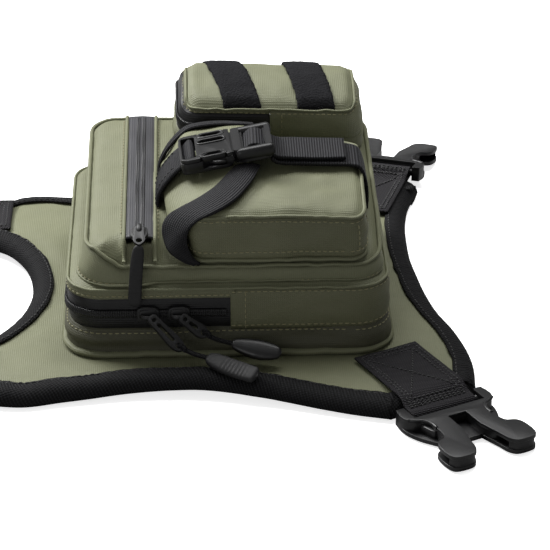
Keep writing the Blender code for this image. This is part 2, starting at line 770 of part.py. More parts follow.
def flap_level(x, y):
    """Underside of the flap: over the mouth it falls from the pocket's top to the fold."""
    inside = flap_surface(max(x, FLAP_X0), y) + 0.5
    fall = ease((FLAP_X0 - 2.5 - x) / (FLAP_X0 - 2.5 - FOLD_X))
    return inside + (FOLD_Z - inside) * fall


def flap_lower_point(t, y):
    """A point of the flap's outer end: t runs from its sewn base to the fold."""
    base = Vector((FLAP_BASE_X, y, front_surface(FLAP_BASE_X, y) + 2.4))
    fold = Vector((FOLD_X - 0.5, y, FOLD_Z - 1.8))
    place = base.lerp(fold, t)
    place.x -= 5.0 * math.sin(math.pi * t)
    return place


def outside_flap(t, y, clearance):
    """A point off the outside of the flap's outer end."""
    step = 0.02
    run = flap_lower_point(min(1.0, t + step), y) - flap_lower_point(max(0.0, t - step), y)
    outward = Vector((-run.z, 0.0, run.x)).normalized()
    return flap_lower_point(t, y) + outward * (FLAP_CLOTH + clearance)


def flap_lower_near_y(t):
    """Near edge of the flap's outer end."""
    return FLAP_Y0 + 12.0 * ease(t)


def build_flap():
    grid = []
    for x in spread(FOLD_X + 0.5, 18.0, 8):
        grid.append([(x, y, flap_level(x, y)) for y in spread(flap_near_y(x), flap_far_y(x), 6)])
    sheet_solid("flap_upper", grid, FLAP_CLOTH, OLIVE, FLAP_HINGE)
    lower = []
    for t in spread(0.0, 1.0, 5):
        lower.append([flap_lower_point(t, y) for y in spread(flap_lower_near_y(t), 8.0, 6)])
    sheet_solid("flap_lower", lower, FLAP_CLOTH, OLIVE)
    lift = 1.4 * FLAP_CLOTH + GAP
    bindings = (("flap_binding_near", flap_near_y, 10.0), ("flap_binding_far", flap_far_y, -5.0))
    for name, edge, width in bindings:
        band = []
        for x in spread(FOLD_X + 1.5, 9.5, 6):
            sides = sorted((edge(x), edge(x) + width))
            band.append([(x, y, flap_level(x, y) + lift) for y in sides])
        sheet_solid(name, band, BINDING_CLOTH, BLACK_TAPE, FLAP_HINGE)
    band = []
    for t in spread(0.1, 0.94, 5):
        near = flap_lower_near_y(t)
        band.append([outside_flap(t, near, GAP), outside_flap(t, near + 10.0, GAP)])
    sheet_solid("flap_binding_lower", band, BINDING_CLOTH, BLACK_TAPE)


# ---------------------------------------------------------------- closure buckle and straps

def closure_frame():
    """x runs towards the strap, y across the buckle, z up from its underside."""
    turn = Matrix.Rotation(CLOSURE_TURN, 4, "Z") @ Matrix.Rotation(-CLOSURE_PITCH, 4, "Y")
    turn.translation = Vector((CLOSURE_CENTRE[0], CLOSURE_CENTRE[1], CLOSURE_BOTTOM_Z))
    return turn


def build_closure_buckle():
    frame = closure_frame()
    half = CLOSURE_HALF_WIDTH
    thick = CLOSURE_THICKNESS
    female = [(FEMALE_MOUTH, -half + 1.0), (FEMALE_MOUTH, half - 1.0), (-4.0, half), (-14.0, half - 1.0),
              (-20.0, half), (FEMALE_BACK, half - 2.0), (FEMALE_BACK, 2.0 - half), (-20.0, -half),
              (-14.0, 1.0 - half), (-4.0, -half)]
    slot = [(-24.0, -13.2), (-24.0, 13.2), (-19.6, 13.2), (-19.6, -13.2)]
    vertices, faces = place_mesh(slab_mesh(female, [slot], 0.0, thick), frame)
    body = make_object("closure_buckle_female", vertices, faces, BUCKLE_PLASTIC, origin=FLAP_HINGE)
    boolean(body, place_mesh(box_mesh(-17.0, FEMALE_MOUTH + 1.0, -13.0, 13.0, 1.7, thick - 1.7), frame),
            "DIFFERENCE", "female_cavity")
    boolean(body, place_mesh(box_mesh(-13.6, -2.7, -20.0, 20.0, 1.7, thick - 1.7), frame),
            "DIFFERENCE", "female_windows")
    male_base = [(FEMALE_MOUTH + GAP, 1.0 - half), (8.0, -half), (MALE_END, 1.5 - half),
                 (MALE_END, half - 1.5), (8.0, half), (FEMALE_MOUTH + GAP, half - 1.0)]
    slots = [[(x, -13.0), (x, 13.0), (x + 4.2, 13.0), (x + 4.2, -13.0)] for x in (8.4, 15.6)]
    vertices, faces = place_mesh(slab_mesh(male_base, slots, 0.0, thick), frame)
    male = make_object("closure_buckle_male", vertices, faces, BUCKLE_PLASTIC,
                       origin=(CLOSURE_CENTRE[0], CLOSURE_CENTRE[1], CLOSURE_BOTTOM_Z))
    prongs = [(4.0, -12.4), (4.0, 12.4), (-3.2, 12.4), (-4.4, 14.8), (-10.0, 14.8), (-14.5, 11.5),
              (-15.0, 9.0), (-9.0, 8.0), (1.0, 8.0), (1.0, 1.6), (-14.0, 1.6), (-14.0, -1.6),
              (1.0, -1.6), (1.0, -8.0), (-9.0, -8.0), (-15.0, -9.0), (-14.5, -11.5), (-10.0, -14.8),
              (-4.4, -14.8), (-3.2, -12.4)]
    plate = slab_mesh(prongs, (), 2.1, thick - 2.1)
    boolean(male, place_mesh(plate, frame), "UNION", "male_prongs")


def build_closure_straps():
    frame = closure_frame()
    across = frame.to_3x3() @ Vector((0.0, 1.0, 0.0))
    back = frame @ Vector((FEMALE_BACK - GAP, 0.0, 0.0))
    drop = 1.5 * FLAP_CLOTH + 2.0 * GAP
    upper = [(x, back.y, flap_level(x, back.y) + drop) for x in spread(FOLD_X + 0.9, back.x - 0.7, 4)]
    ribbon("closure_webbing_upper", upper, across, SMALL_WEBBING, WEBBING_CLOTH, BLACK_WEB, FLAP_HINGE)
    grid = []
    for t in spread(0.22, 0.92, 5):
        grid.append([outside_flap(t, WEBBING_NEAR_Y, 2.0 * GAP),
                     outside_flap(t, WEBBING_NEAR_Y + SMALL_WEBBING, 2.0 * GAP)])
    sheet_solid("closure_webbing_lower", grid, WEBBING_CLOTH, BLACK_WEB)
    start = frame @ Vector((MALE_END + 4.0, 0.0, 0.0))
    lower = []
    for i, x in enumerate(spread(start.x, FLAP_X1 - 1.0, 5)):
        y = start.y + 0.05 * (x - start.x)
        lower.append((x, y, flap_surface(x, y) + 1.4 - 0.15 * i))
    end = Vector(lower[-1])
    lower.append(end + Vector((2.2, 0.0, -2.4)))
    lower.append(end + Vector((2.6, 0.0, -8.0)))
    lower.append(end + Vector((2.0, 0.0, -18.4)))
    ribbon("closure_strap_lower", lower, (0.0, 1.0, 0.0), SMALL_WEBBING, WEBBING_CLOTH, BLACK_WEB)
    tail = []
    for i, x in enumerate(spread(start.x, TAIL_END_X, 5)):
        y = start.y + TAIL_SKEW * (x - start.x)
        tail.append((x, y, flap_surface(x, y) + 4.4 - 0.15 * i))
    ribbon("closure_strap_tail", tail, across, SMALL_WEBBING, WEBBING_CLOTH, BLACK_WEB)


# ---------------------------------------------------------------- sliders and pulls

def oriented(origin, ahead, up):
    """Frame with x along ahead and z as near to up as it can be."""
    forward = Vector(ahead).normalized()
    side = Vector(up).cross(forward).normalized()
    rise = forward.cross(side)
    frame = Matrix((forward, side, rise)).transposed().to_4x4()
    frame.translation = Vector(origin)
    return frame


def build_slider(name, origin, ahead, up):
    """A slider body standing off its coil, with a bail over its middle."""
    frame = oriented(origin, ahead, up)
    half = SLIDER_LENGTH / 2.0
    outline = [(-half, -2.6), (-half + 1.5, -3.4), (half - 4.0, -SLIDER_WIDTH / 2.0),
               (half - 0.8, -SLIDER_WIDTH / 2.0 + 0.4), (half, -1.6), (half, 1.6),
               (half - 0.8, SLIDER_WIDTH / 2.0 - 0.4), (half - 4.0, SLIDER_WIDTH / 2.0),
               (-half + 1.5, 3.4), (-half, 2.6)]
    vertices, faces = place_mesh(slab_mesh(outline, (), 0.0, SLIDER_HEIGHT - 1.4), frame)
    thing = make_object(name, vertices, faces, SLIDER_METAL, origin=origin)
    bail = [(-4.0, -1.0), (4.0, -1.0), (4.0, 1.0), (-4.0, 1.0)]
    boolean(thing, place_mesh(slab_mesh(bail, (), SLIDER_HEIGHT - 2.0, SLIDER_HEIGHT), frame),
            "UNION", name + "_bail")


def build_pull(prefix, joints, up):
    """A metal tab, a cord and a rubber grip along a bent line of points from the pivot."""
    pivot = joints[0]
    run = Vector(joints[1]) - Vector(pivot)
    tab = run.length
    half = TAB_THICKNESS / 2.0
    outline = [(0.0, -1.6), (2.5, -2.2), (5.0, -TAB_WIDTH / 2.0), (tab - 1.5, -TAB_WIDTH / 2.0),
               (tab, -TAB_WIDTH / 2.0 + 1.5), (tab, TAB_WIDTH / 2.0 - 1.5), (tab - 1.5, TAB_WIDTH / 2.0),
               (5.0, TAB_WIDTH / 2.0), (2.5, 2.2), (0.0, 1.6)]
    hole = [(tab - 3.6 + 1.5 * math.cos(a), 1.5 * math.sin(a))
            for a in [math.pi * k / 4.0 for k in range(8)]]
    mesh = place_mesh(slab_mesh(outline, [hole], -half, half), oriented(pivot, run, up))
    make_object(prefix + "_pull_tab", *mesh, SLIDER_METAL, origin=pivot)
    if len(joints) < 4:
        return
    start = Vector(joints[1])
    end = Vector(joints[2])
    clear = (end - start).normalized() * (half + GAP)
    rod = rod_mesh(start + clear, end - clear, PULL_CORD_RADIUS, 8)
    make_object(prefix + "_pull_cord", *rod, PULL_CORD, origin=pivot)
    run = Vector(joints[3]) - end
    grip = run.length
    shape = [(0.0, -2.2), (5.0, -4.6), (grip - 4.0, -4.6), (grip, -2.0), (grip, 2.0),
             (grip - 4.0, 4.6), (5.0, 4.6), (0.0, 2.2)]
    mesh = place_mesh(slab_mesh(shape, (), -2.0, 2.0), oriented(end, run, up))
    make_object(prefix + "_pull_grip", *mesh, PULL_RUBBER, origin=pivot)


def bent_from(pivot, bends):
    return [Vector(pivot)] + [Vector(pivot) + Vector(bend) for bend in bends]


def build_main_pulls():
    face_y = -MAIN_HALF_Y - GAP - COIL_PROUD - GAP
    for i, x in enumerate(MAIN_SLIDER_X):
        name = "main_slider_%d" % (i + 1)
        ahead = (1.0, 0.0, 0.0) if i == 0 else (-1.0, 0.0, 0.0)
        build_slider(name, (x, face_y, MAIN_SLIDER_Z), ahead, (0.0, -1.0, 0.0))
        pivot = (x + 2.0, face_y - SLIDER_HEIGHT - TAB_THICKNESS - 0.6, MAIN_SLIDER_Z)
        build_pull("main_%d" % (i + 1), bent_from(pivot, MAIN_PULL_BENDS[i]), (0.2, -0.55, 0.8))


def build_front_pull():
    y = FRONT_Y0 + 8.5
    slope = Vector((0.0, 1.0, FRONT_RISE)).normalized()
    up = Vector((0.0, -slope.z, slope.y))
    z = front_surface(FRONT_ZIP_X, y) + GAP + COIL_PROUD + GAP
    build_slider("front_slider", (FRONT_ZIP_X, y, z), -slope, up)
    pivot = (FRONT_ZIP_X, FRONT_Y0 - 2.6, z + SLIDER_HEIGHT - 2.4)
    build_pull("front", bent_from(pivot, (FRONT_TAB_BEND,)), (0.0, -1.0, 0.25))


def build_upper_pull():
    face_y = UPPER_Y1 + GAP + COIL_PROUD + GAP
    z = upper_surface(UPPER_SLIDER_X, UPPER_Y1) - SEAM_DROP - UPPER_ZIP_HEIGHT / 2.0
    build_slider("upper_slider", (UPPER_SLIDER_X, face_y, z), (-1.0, 0.0, 0.0), (0.0, 1.0, 0.0))
    pivot = (UPPER_SLIDER_X, face_y + SLIDER_HEIGHT + TAB_THICKNESS, z)
    build_pull("upper", bent_from(pivot, UPPER_PULL_BENDS), (0.0, 1.0, 0.05))


def main():
    clear_scene()
    build_carrier()
    for wing in WINGS:
        build_patch(wing)
        build_buckle(wing)
    build_main_pouch()
    build_front_pocket()
    build_upper_pocket()
    build_flap_pocket()
    build_flap()
    build_closure_buckle()
    build_closure_straps()
    build_main_pulls()
    build_front_pull()
    build_upper_pull()


main()
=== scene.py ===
"""Looks for the chest-rig harness vest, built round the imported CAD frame."""

import math

import bmesh
import bpy
import numpy as np
from mathutils import Matrix, Vector, geometry


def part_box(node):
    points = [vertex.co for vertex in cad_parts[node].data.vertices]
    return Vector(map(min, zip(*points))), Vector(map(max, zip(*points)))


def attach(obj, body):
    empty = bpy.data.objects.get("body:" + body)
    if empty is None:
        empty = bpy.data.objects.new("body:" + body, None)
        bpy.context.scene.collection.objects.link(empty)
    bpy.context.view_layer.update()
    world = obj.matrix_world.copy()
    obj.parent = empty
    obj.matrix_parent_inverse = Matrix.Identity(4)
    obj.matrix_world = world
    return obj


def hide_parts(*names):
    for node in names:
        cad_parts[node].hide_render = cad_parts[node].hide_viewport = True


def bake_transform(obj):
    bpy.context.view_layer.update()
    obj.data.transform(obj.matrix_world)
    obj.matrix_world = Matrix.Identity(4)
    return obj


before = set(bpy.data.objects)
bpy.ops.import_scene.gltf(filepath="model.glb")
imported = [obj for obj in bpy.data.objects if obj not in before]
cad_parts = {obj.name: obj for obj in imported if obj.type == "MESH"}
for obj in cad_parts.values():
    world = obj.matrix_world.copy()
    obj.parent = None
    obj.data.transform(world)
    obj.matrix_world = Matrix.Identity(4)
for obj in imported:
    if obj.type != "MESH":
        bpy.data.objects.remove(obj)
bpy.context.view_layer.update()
MM = 0.001


def node_box(name):
    """(x0, y0, z0, x1, y1, z1) of a CAD node in mm."""
    lo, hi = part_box(name)
    return [c / MM for c in (*lo, *hi)]


MX0, MY0, _, MX1, MY1, MAIN_TOP = node_box("main_front_panel")
ZIP_LOW, ZIP_HIGH = node_box("main_zip_band")[2], node_box("main_zip_band")[5]
ZIP_END_X = node_box("main_end_gusset")[0]
FX0, FY0, _, FX1, FY1, _ = node_box("front_pocket_gusset")
ZX0, ZX1 = node_box("front_zip_band")[0], node_box("front_zip_band")[3]
UX0, UY0, _, UX1, UY1, _ = node_box("upper_pocket_top")
UPPER_ZIP_END = node_box("upper_end_gusset")[0]
PX0, PY0, _, PX1, PY1, _ = node_box("flap_pocket_walls")
PANEL_TOP = node_box("vest_panel")[5]


# ------------------------------------------------------------------ small maths

def ease(value):
    clipped = np.clip(value, 0.0, 1.0)
    return clipped * clipped * (3.0 - 2.0 * clipped)


def hashed(ix, iy, iz, seed):
    h = (ix * 73856093) ^ (iy * 19349663) ^ (iz * 83492791) ^ (seed * 2654435761)
    h = (h ^ (h >> 13)) * 1274126177
    return ((h ^ (h >> 16)) & 0xFFFF) / 32767.5 - 1.0


def noise(points, size, seed=1):
    """Smooth value noise from -1 to 1 over an (..., 3) array in mm."""
    p = np.asarray(points, float) / size
    cell = np.floor(p).astype(np.int64)
    f = p - cell
    f = f * f * (3.0 - 2.0 * f)
    total = 0.0
    for dx in (0, 1):
        for dy in (0, 1):
            for dz in (0, 1):
                weight = (np.where(dx, f[..., 0], 1 - f[..., 0]) * np.where(dy, f[..., 1], 1 - f[..., 1])
                          * np.where(dz, f[..., 2], 1 - f[..., 2]))
                total = total + weight * hashed(cell[..., 0] + dx, cell[..., 1] + dy, cell[..., 2] + dz, seed)
    return total


def curve_through(points, step):
    """Catmull-Rom curve through points, resampled at about one step (mm)."""
    knots = np.array(points, float)
    knots = np.vstack([2 * knots[0] - knots[1], knots, 2 * knots[-1] - knots[-2]])
    fine = []
    for i in range(1, len(knots) - 2):
        a, b, c, d = knots[i - 1:i + 3]
        for t in np.linspace(0.0, 1.0, 24, endpoint=False):
            fine.append(0.5 * (2 * b + (c - a) * t + (2 * a - 5 * b + 4 * c - d) * t ** 2
                               + (3 * b - a - 3 * c + d) * t ** 3))
    fine.append(knots[-2])
    return resampled(np.array(fine), step)


def resampled(path, step, closed=False):
    path = np.asarray(path, float)
    if closed:
        path = np.vstack([path, path[:1]])
    length = np.concatenate([[0.0], np.cumsum(np.linalg.norm(np.diff(path, axis=0), axis=1))])
    count = max(3, int(round(length[-1] / step)) + 1)
    at = np.linspace(0.0, length[-1], count)
    out = np.stack([np.interp(at, length, path[:, k]) for k in range(path.shape[1])], axis=1)
    return out[:-1] if closed else out


def rounded_rectangle(x0, x1, y0, y1, radius, step=3.0):
    """Counter-clockwise closed outline in plan."""
    corners = ((x1 - radius, y0 + radius, -90), (x1 - radius, y1 - radius, 0),
               (x0 + radius, y1 - radius, 90), (x0 + radius, y0 + radius, 180))
    path = []
    for cx, cy, start in corners:
        for k in range(13):
            angle = math.radians(start + 7.5 * k)
            path.append((cx + radius * math.cos(angle), cy + radius * math.sin(angle)))
    return resampled(path, step, closed=True)


def left_normals(path, closed):
    """Unit normals on the left of a plan path."""
    if closed:
        run = np.roll(path, -1, axis=0) - np.roll(path, 1, axis=0)
    else:
        run = np.gradient(path, axis=0)
    run = run[:, :2] / np.linalg.norm(run[:, :2], axis=1)[:, None]
    return np.stack([-run[:, 1], run[:, 0]], axis=1)


def distance_to(points, loop):
    """Distance in plan from each point to a closed loop."""
    a = loop[:, :2]
    b = np.roll(a, -1, axis=0)
    best = np.full(len(points), 1e9)
    for p, q in zip(a, b):
        d = q - p
        t = np.clip(((points - p) @ d) / max(d @ d, 1e-9), 0.0, 1.0)
        best = np.minimum(best, np.linalg.norm(points - p - t[:, None] * d, axis=1))
    return best


def inside(points, loop):
    """Even-odd test of points against a closed plan loop."""
    x, y = points[:, 0], points[:, 1]
    hit = np.zeros(len(points), bool)
    for p, q in zip(loop, np.roll(loop, -1, axis=0)):
        crosses = (p[1] > y) != (q[1] > y)
        with np.errstate(divide="ignore", invalid="ignore"):
            at = (q[0] - p[0]) * (y - p[1]) / (q[1] - p[1]) + p[0]
        hit ^= crosses & (x < at)
    return hit


# ------------------------------------------------------------------ mesh makers

def new_object(name, vertices, faces, mat, uvs=None, smooth=True):
    """vertices in mm; uvs are one (u, v) per vertex, in metres."""
    mesh = bpy.data.meshes.new(name)
    metres = np.asarray(vertices, float) * MM
    mesh.from_pydata([tuple(v) for v in metres], [], [tuple(int(k) for k in f) for f in faces])
    if uvs is not None:
        layer = mesh.uv_layers.new(name="UVMap")
        index = np.zeros(len(mesh.loops), np.int32)
        mesh.loops.foreach_get("vertex_index", index)
        layer.data.foreach_set("uv", (np.asarray(uvs, np.float32)[index] * MM).ravel())
    if smooth:
        mesh.shade_smooth()
    mesh.materials.append(mat)
    thing = bpy.data.objects.new(name, mesh)
    bpy.context.scene.collection.objects.link(thing)
    return thing


def finish_piece(thing, body, nodes=()):
    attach(thing, body)
    if nodes:
        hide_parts(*nodes)
    return thing


def solidify(thing, thickness, offset=-1.0):
    step = thing.modifiers.new("thickness", "SOLIDIFY")
    step.thickness = thickness * MM
    step.offset = offset
    step.use_rim = True


def apply_modifiers(thing):
    dg = bpy.context.evaluated_depsgraph_get()
    made = bpy.data.meshes.new_from_object(thing.evaluated_get(dg))
    thing.modifiers.clear()
    thing.data = made
    return thing


def grid_faces(rows, columns, closed_columns=False):
    """Quads of a grid of vertices, given row by row."""
    i = np.arange(rows - 1)
    j = np.arange(columns if closed_columns else columns - 1)
    ii, jj = np.meshgrid(i, j, indexing="ij")
    i2, j2 = ii + 1, (jj + 1) % columns
    corners = [ii * columns + jj, i2 * columns + jj, i2 * columns + j2, ii * columns + j2]
    return np.stack(corners, -1).reshape(-1, 4)


def finish_cloth(thing, nodes=()):
    """A sewn piece of the vest itself."""
    return finish_piece(apply_modifiers(thing), "vest", nodes)


def surface(name, grid, mat, closed=False, thickness=0.0, offset=-1.0, flip=False):
    """A smooth sheet from a (rows, columns, 3) grid in mm; u runs along the rows, v across."""
    grid = np.asarray(grid, float)
    rows, columns = grid.shape[:2]
    along = np.linalg.norm(np.diff(grid, axis=0), axis=2).mean(axis=1)
    across = np.linalg.norm(np.diff(grid, axis=1), axis=2).mean(axis=0)
    u = np.concatenate([[0.0], np.cumsum(along)])
    v = np.concatenate([[0.0], np.cumsum(across)])
    if closed:
        grid = np.vstack([grid, grid[:1]])
        u = np.append(u, u[-1] + np.linalg.norm(grid[-1] - grid[-2], axis=1).mean())
        rows += 1
    uv = np.stack(np.meshgrid(u, v, indexing="ij"), -1).reshape(-1, 2)
    faces = grid_faces(rows, columns)
    if flip:
        faces = faces[:, ::-1]
    thing = new_object(name, grid.reshape(-1, 3), faces, mat, uv)
    if closed:
        weld = bmesh.new()
        weld.from_mesh(thing.data)
        bmesh.ops.remove_doubles(weld, verts=weld.verts, dist=1e-6)
        weld.to_mesh(thing.data)
        weld.free()
    if thickness:
        solidify(thing, thickness, offset)
    return thing


def ring_inset(loop, distance):
    return loop + left_normals(loop, True) * distance


def skin(name, loop, height, mat, spacing, insets, thickness):
    """A cloth sheet over a plan outline, its height a function of (points, distance to the edge)."""
    lo, hi = loop.min(0), loop.max(0)
    xs = np.arange(lo[0] + spacing / 2, hi[0], spacing)
    ys = np.arange(lo[1] + spacing / 2, hi[1], spacing * 0.9)
    gx, gy = np.meshgrid(xs, ys)
    gx = gx + (np.arange(len(ys)) % 2)[:, None] * spacing / 2
    pts = np.stack([gx.ravel(), gy.ravel()], 1)
    keep = inside(pts, loop) & (distance_to(pts, loop) > (insets[-1] if insets else 0.0) + spacing * 0.5)
    rings = [loop] + [ring_inset(loop, d) for d in insets]
    everything = np.vstack([*rings, pts[keep]])
    edges = [(i, (i + 1) % len(loop)) for i in range(len(loop))]
    out = geometry.delaunay_2d_cdt([Vector(p) for p in everything], edges, [], 0, 1e-5)
    verts = np.array([tuple(v) for v in out[0]])
    tris = np.array([f for f in out[2] if len(f) == 3])
    centre = verts[tris].mean(axis=1)
    tris = tris[inside(centre, loop)]
    used = np.unique(tris)
    remap = -np.ones(len(verts), int)
    remap[used] = np.arange(len(used))
    verts = verts[used]
    tris = remap[tris]
    cross = np.cross(verts[tris[:, 1]] - verts[tris[:, 0]], verts[tris[:, 2]] - verts[tris[:, 0]])
    tris[cross < 0] = tris[cross < 0][:, ::-1]
    z = height(verts, distance_to(verts, loop))
    thing = new_object(name, np.column_stack([verts, z]), tris, mat, verts)
    solidify(thing, thickness)
    return thing


def sweep(name, path, section, mat, up=(0, 0, 1), caps=True):
    """Sweep an (across, up) section along a 3D path; up may be one vector or one per point."""
    path = np.asarray(path, float)
    run = np.gradient(path, axis=0)
    run /= np.linalg.norm(run, axis=1)[:, None]
    ups = np.broadcast_to(np.asarray(up, float), path.shape)
    side = np.cross(run, ups)
    side /= np.linalg.norm(side, axis=1)[:, None]
    rise = np.cross(side, run)
    section = np.asarray(section, float)
    if section.ndim == 2:
        section = np.broadcast_to(section, (len(path), *section.shape))
    grid = path[:, None] + section[..., :1] * side[:, None] + section[..., 1:] * rise[:, None]
    count = section.shape[1]
    u = np.concatenate([[0.0], np.cumsum(np.linalg.norm(np.diff(path, axis=0), axis=1))])
    v = np.concatenate([[0.0], np.cumsum(np.linalg.norm(np.diff(section[0], axis=0), axis=1))])
    uv = np.stack(np.meshgrid(u, v, indexing="ij"), -1).reshape(-1, 2)
    faces = [tuple(f) for f in grid_faces(len(path), count, closed_columns=True)]
    if caps:
        faces.append(tuple(range(count))[::-1])
        faces.append(tuple((len(path) - 1) * count + k for k in range(count)))
    return new_object(name, grid.reshape(-1, 3), faces, mat, uv)


def round_section(radius, sides=12, flat=1.0):
    return [(radius * math.cos(2 * math.pi * k / sides), flat * radius * math.sin(2 * math.pi * k / sides))
            for k in range(sides)]


def slab_mesh(outer, holes, low, high):
    """A flat plate with holes, between two heights."""
    flat = [[Vector((p[0], p[1], 0.0)) for p in loop] for loop in (outer, *holes)]
    caps = geometry.tessellate_polygon(flat)
    points = [p for loop in flat for p in loop]
    total = len(points)
    vertices = [(p.x, p.y, low) for p in points] + [(p.x, p.y, high) for p in points]
    faces = [tuple(reversed(t)) for t in caps] + [tuple(k + total for k in t) for t in caps]
    start = 0
    for loop in flat:
        for i in range(len(loop)):
            a, b = start + i, start + (i + 1) % len(loop)
            faces.append((a, b, b + total, a + total))
        start += len(loop)
    return vertices, faces


def moulded(name, parts, matrix, mat, bevel=0.9, segments=3):
    """One piece from several rounded plates: parts are (outer loop, holes, low, high) in mm."""
    work = bmesh.new()
    for outer, holes, low, high in parts:
        vertices, faces = slab_mesh(outer, holes, low, high)
        made = [work.verts.new(matrix @ Vector(v)) for v in vertices]
        for f in faces:
            work.faces.new([made[k] for k in f])
    bmesh.ops.recalc_face_normals(work, faces=work.faces)
    bmesh.ops.dissolve_limit(work, angle_limit=0.01, verts=work.verts, edges=work.edges)
    mesh = bpy.data.meshes.new(name)
    for v in work.verts:
        v.co *= MM
    work.to_mesh(mesh)
    work.free()
    mesh.materials.append(mat)
    thing = bpy.data.objects.new(name, mesh)
    bpy.context.scene.collection.objects.link(thing)
    rounding = thing.modifiers.new("moulded_edges", "BEVEL")
    rounding.width = bevel * MM
    rounding.segments = segments
    rounding.limit_method = "ANGLE"
    rounding.angle_limit = math.radians(40)
    rounding.use_clamp_overlap = True
    apply_modifiers(thing)
    thing.data.shade_smooth()
    thing.data.set_sharp_from_angle(angle=math.radians(50))
    return thing


def stitches(name, lines, mat, pitch, length, radius, lift):
    """Sewing threads laid along lines of (points, normals) in mm."""
    vertices, faces = [], []
    sides = 5
    profile = ((-0.5, 0.35, -0.35), (-0.3, 0.9, 0.05), (0.0, 1.0, 0.25), (0.3, 0.9, 0.05), (0.5, 0.35, -0.35))
    for path, normals in lines:
        path = np.asarray(path, float)
        steps = np.linalg.norm(np.diff(path, axis=0), axis=1)
        total = np.concatenate([[0.0], np.cumsum(steps)])
        normals = np.broadcast_to(np.asarray(normals, float), path.shape)
        centres = np.arange(pitch / 2, total[-1] - pitch / 3, pitch)
        wobble = 0.12 * hashed(np.arange(len(centres)), 7, 3, 11)
        for c, shift in zip(centres, wobble):
            at = np.array([np.interp(c, total, path[:, k]) for k in range(3)])
            ahead = np.array([np.interp(c + 0.6, total, path[:, k]) for k in range(3)])
            back = np.array([np.interp(c - 0.6, total, path[:, k]) for k in range(3)])
            n = np.array([np.interp(c, total, normals[:, k]) for k in range(3)])
            n /= np.linalg.norm(n)
            t = ahead - back
            t /= max(np.linalg.norm(t), 1e-6)
            b = np.cross(n, t)
            b /= max(np.linalg.norm(b), 1e-6)
            base = len(vertices)
            for along, wide, high in profile:
                ring = at + t * along * length + n * (lift + high * radius) + b * shift
                for k in range(sides):
                    a = 2 * math.pi * k / sides
                    vertices.append(ring + (b * math.cos(a) + n * math.sin(a)) * radius * wide)
            for r in range(len(profile) - 1):
                low = base + r * sides
                for k in range(sides):
                    m = (k + 1) % sides
                    faces.append((low + k, low + m, low + sides + m, low + sides + k))
            faces.append(tuple(base + k for k in range(sides))[::-1])
            faces.append(tuple(base + (len(profile) - 1) * sides + k for k in range(sides)))
    return new_object(name, vertices, faces, mat)


# ------------------------------------------------------------------ materials

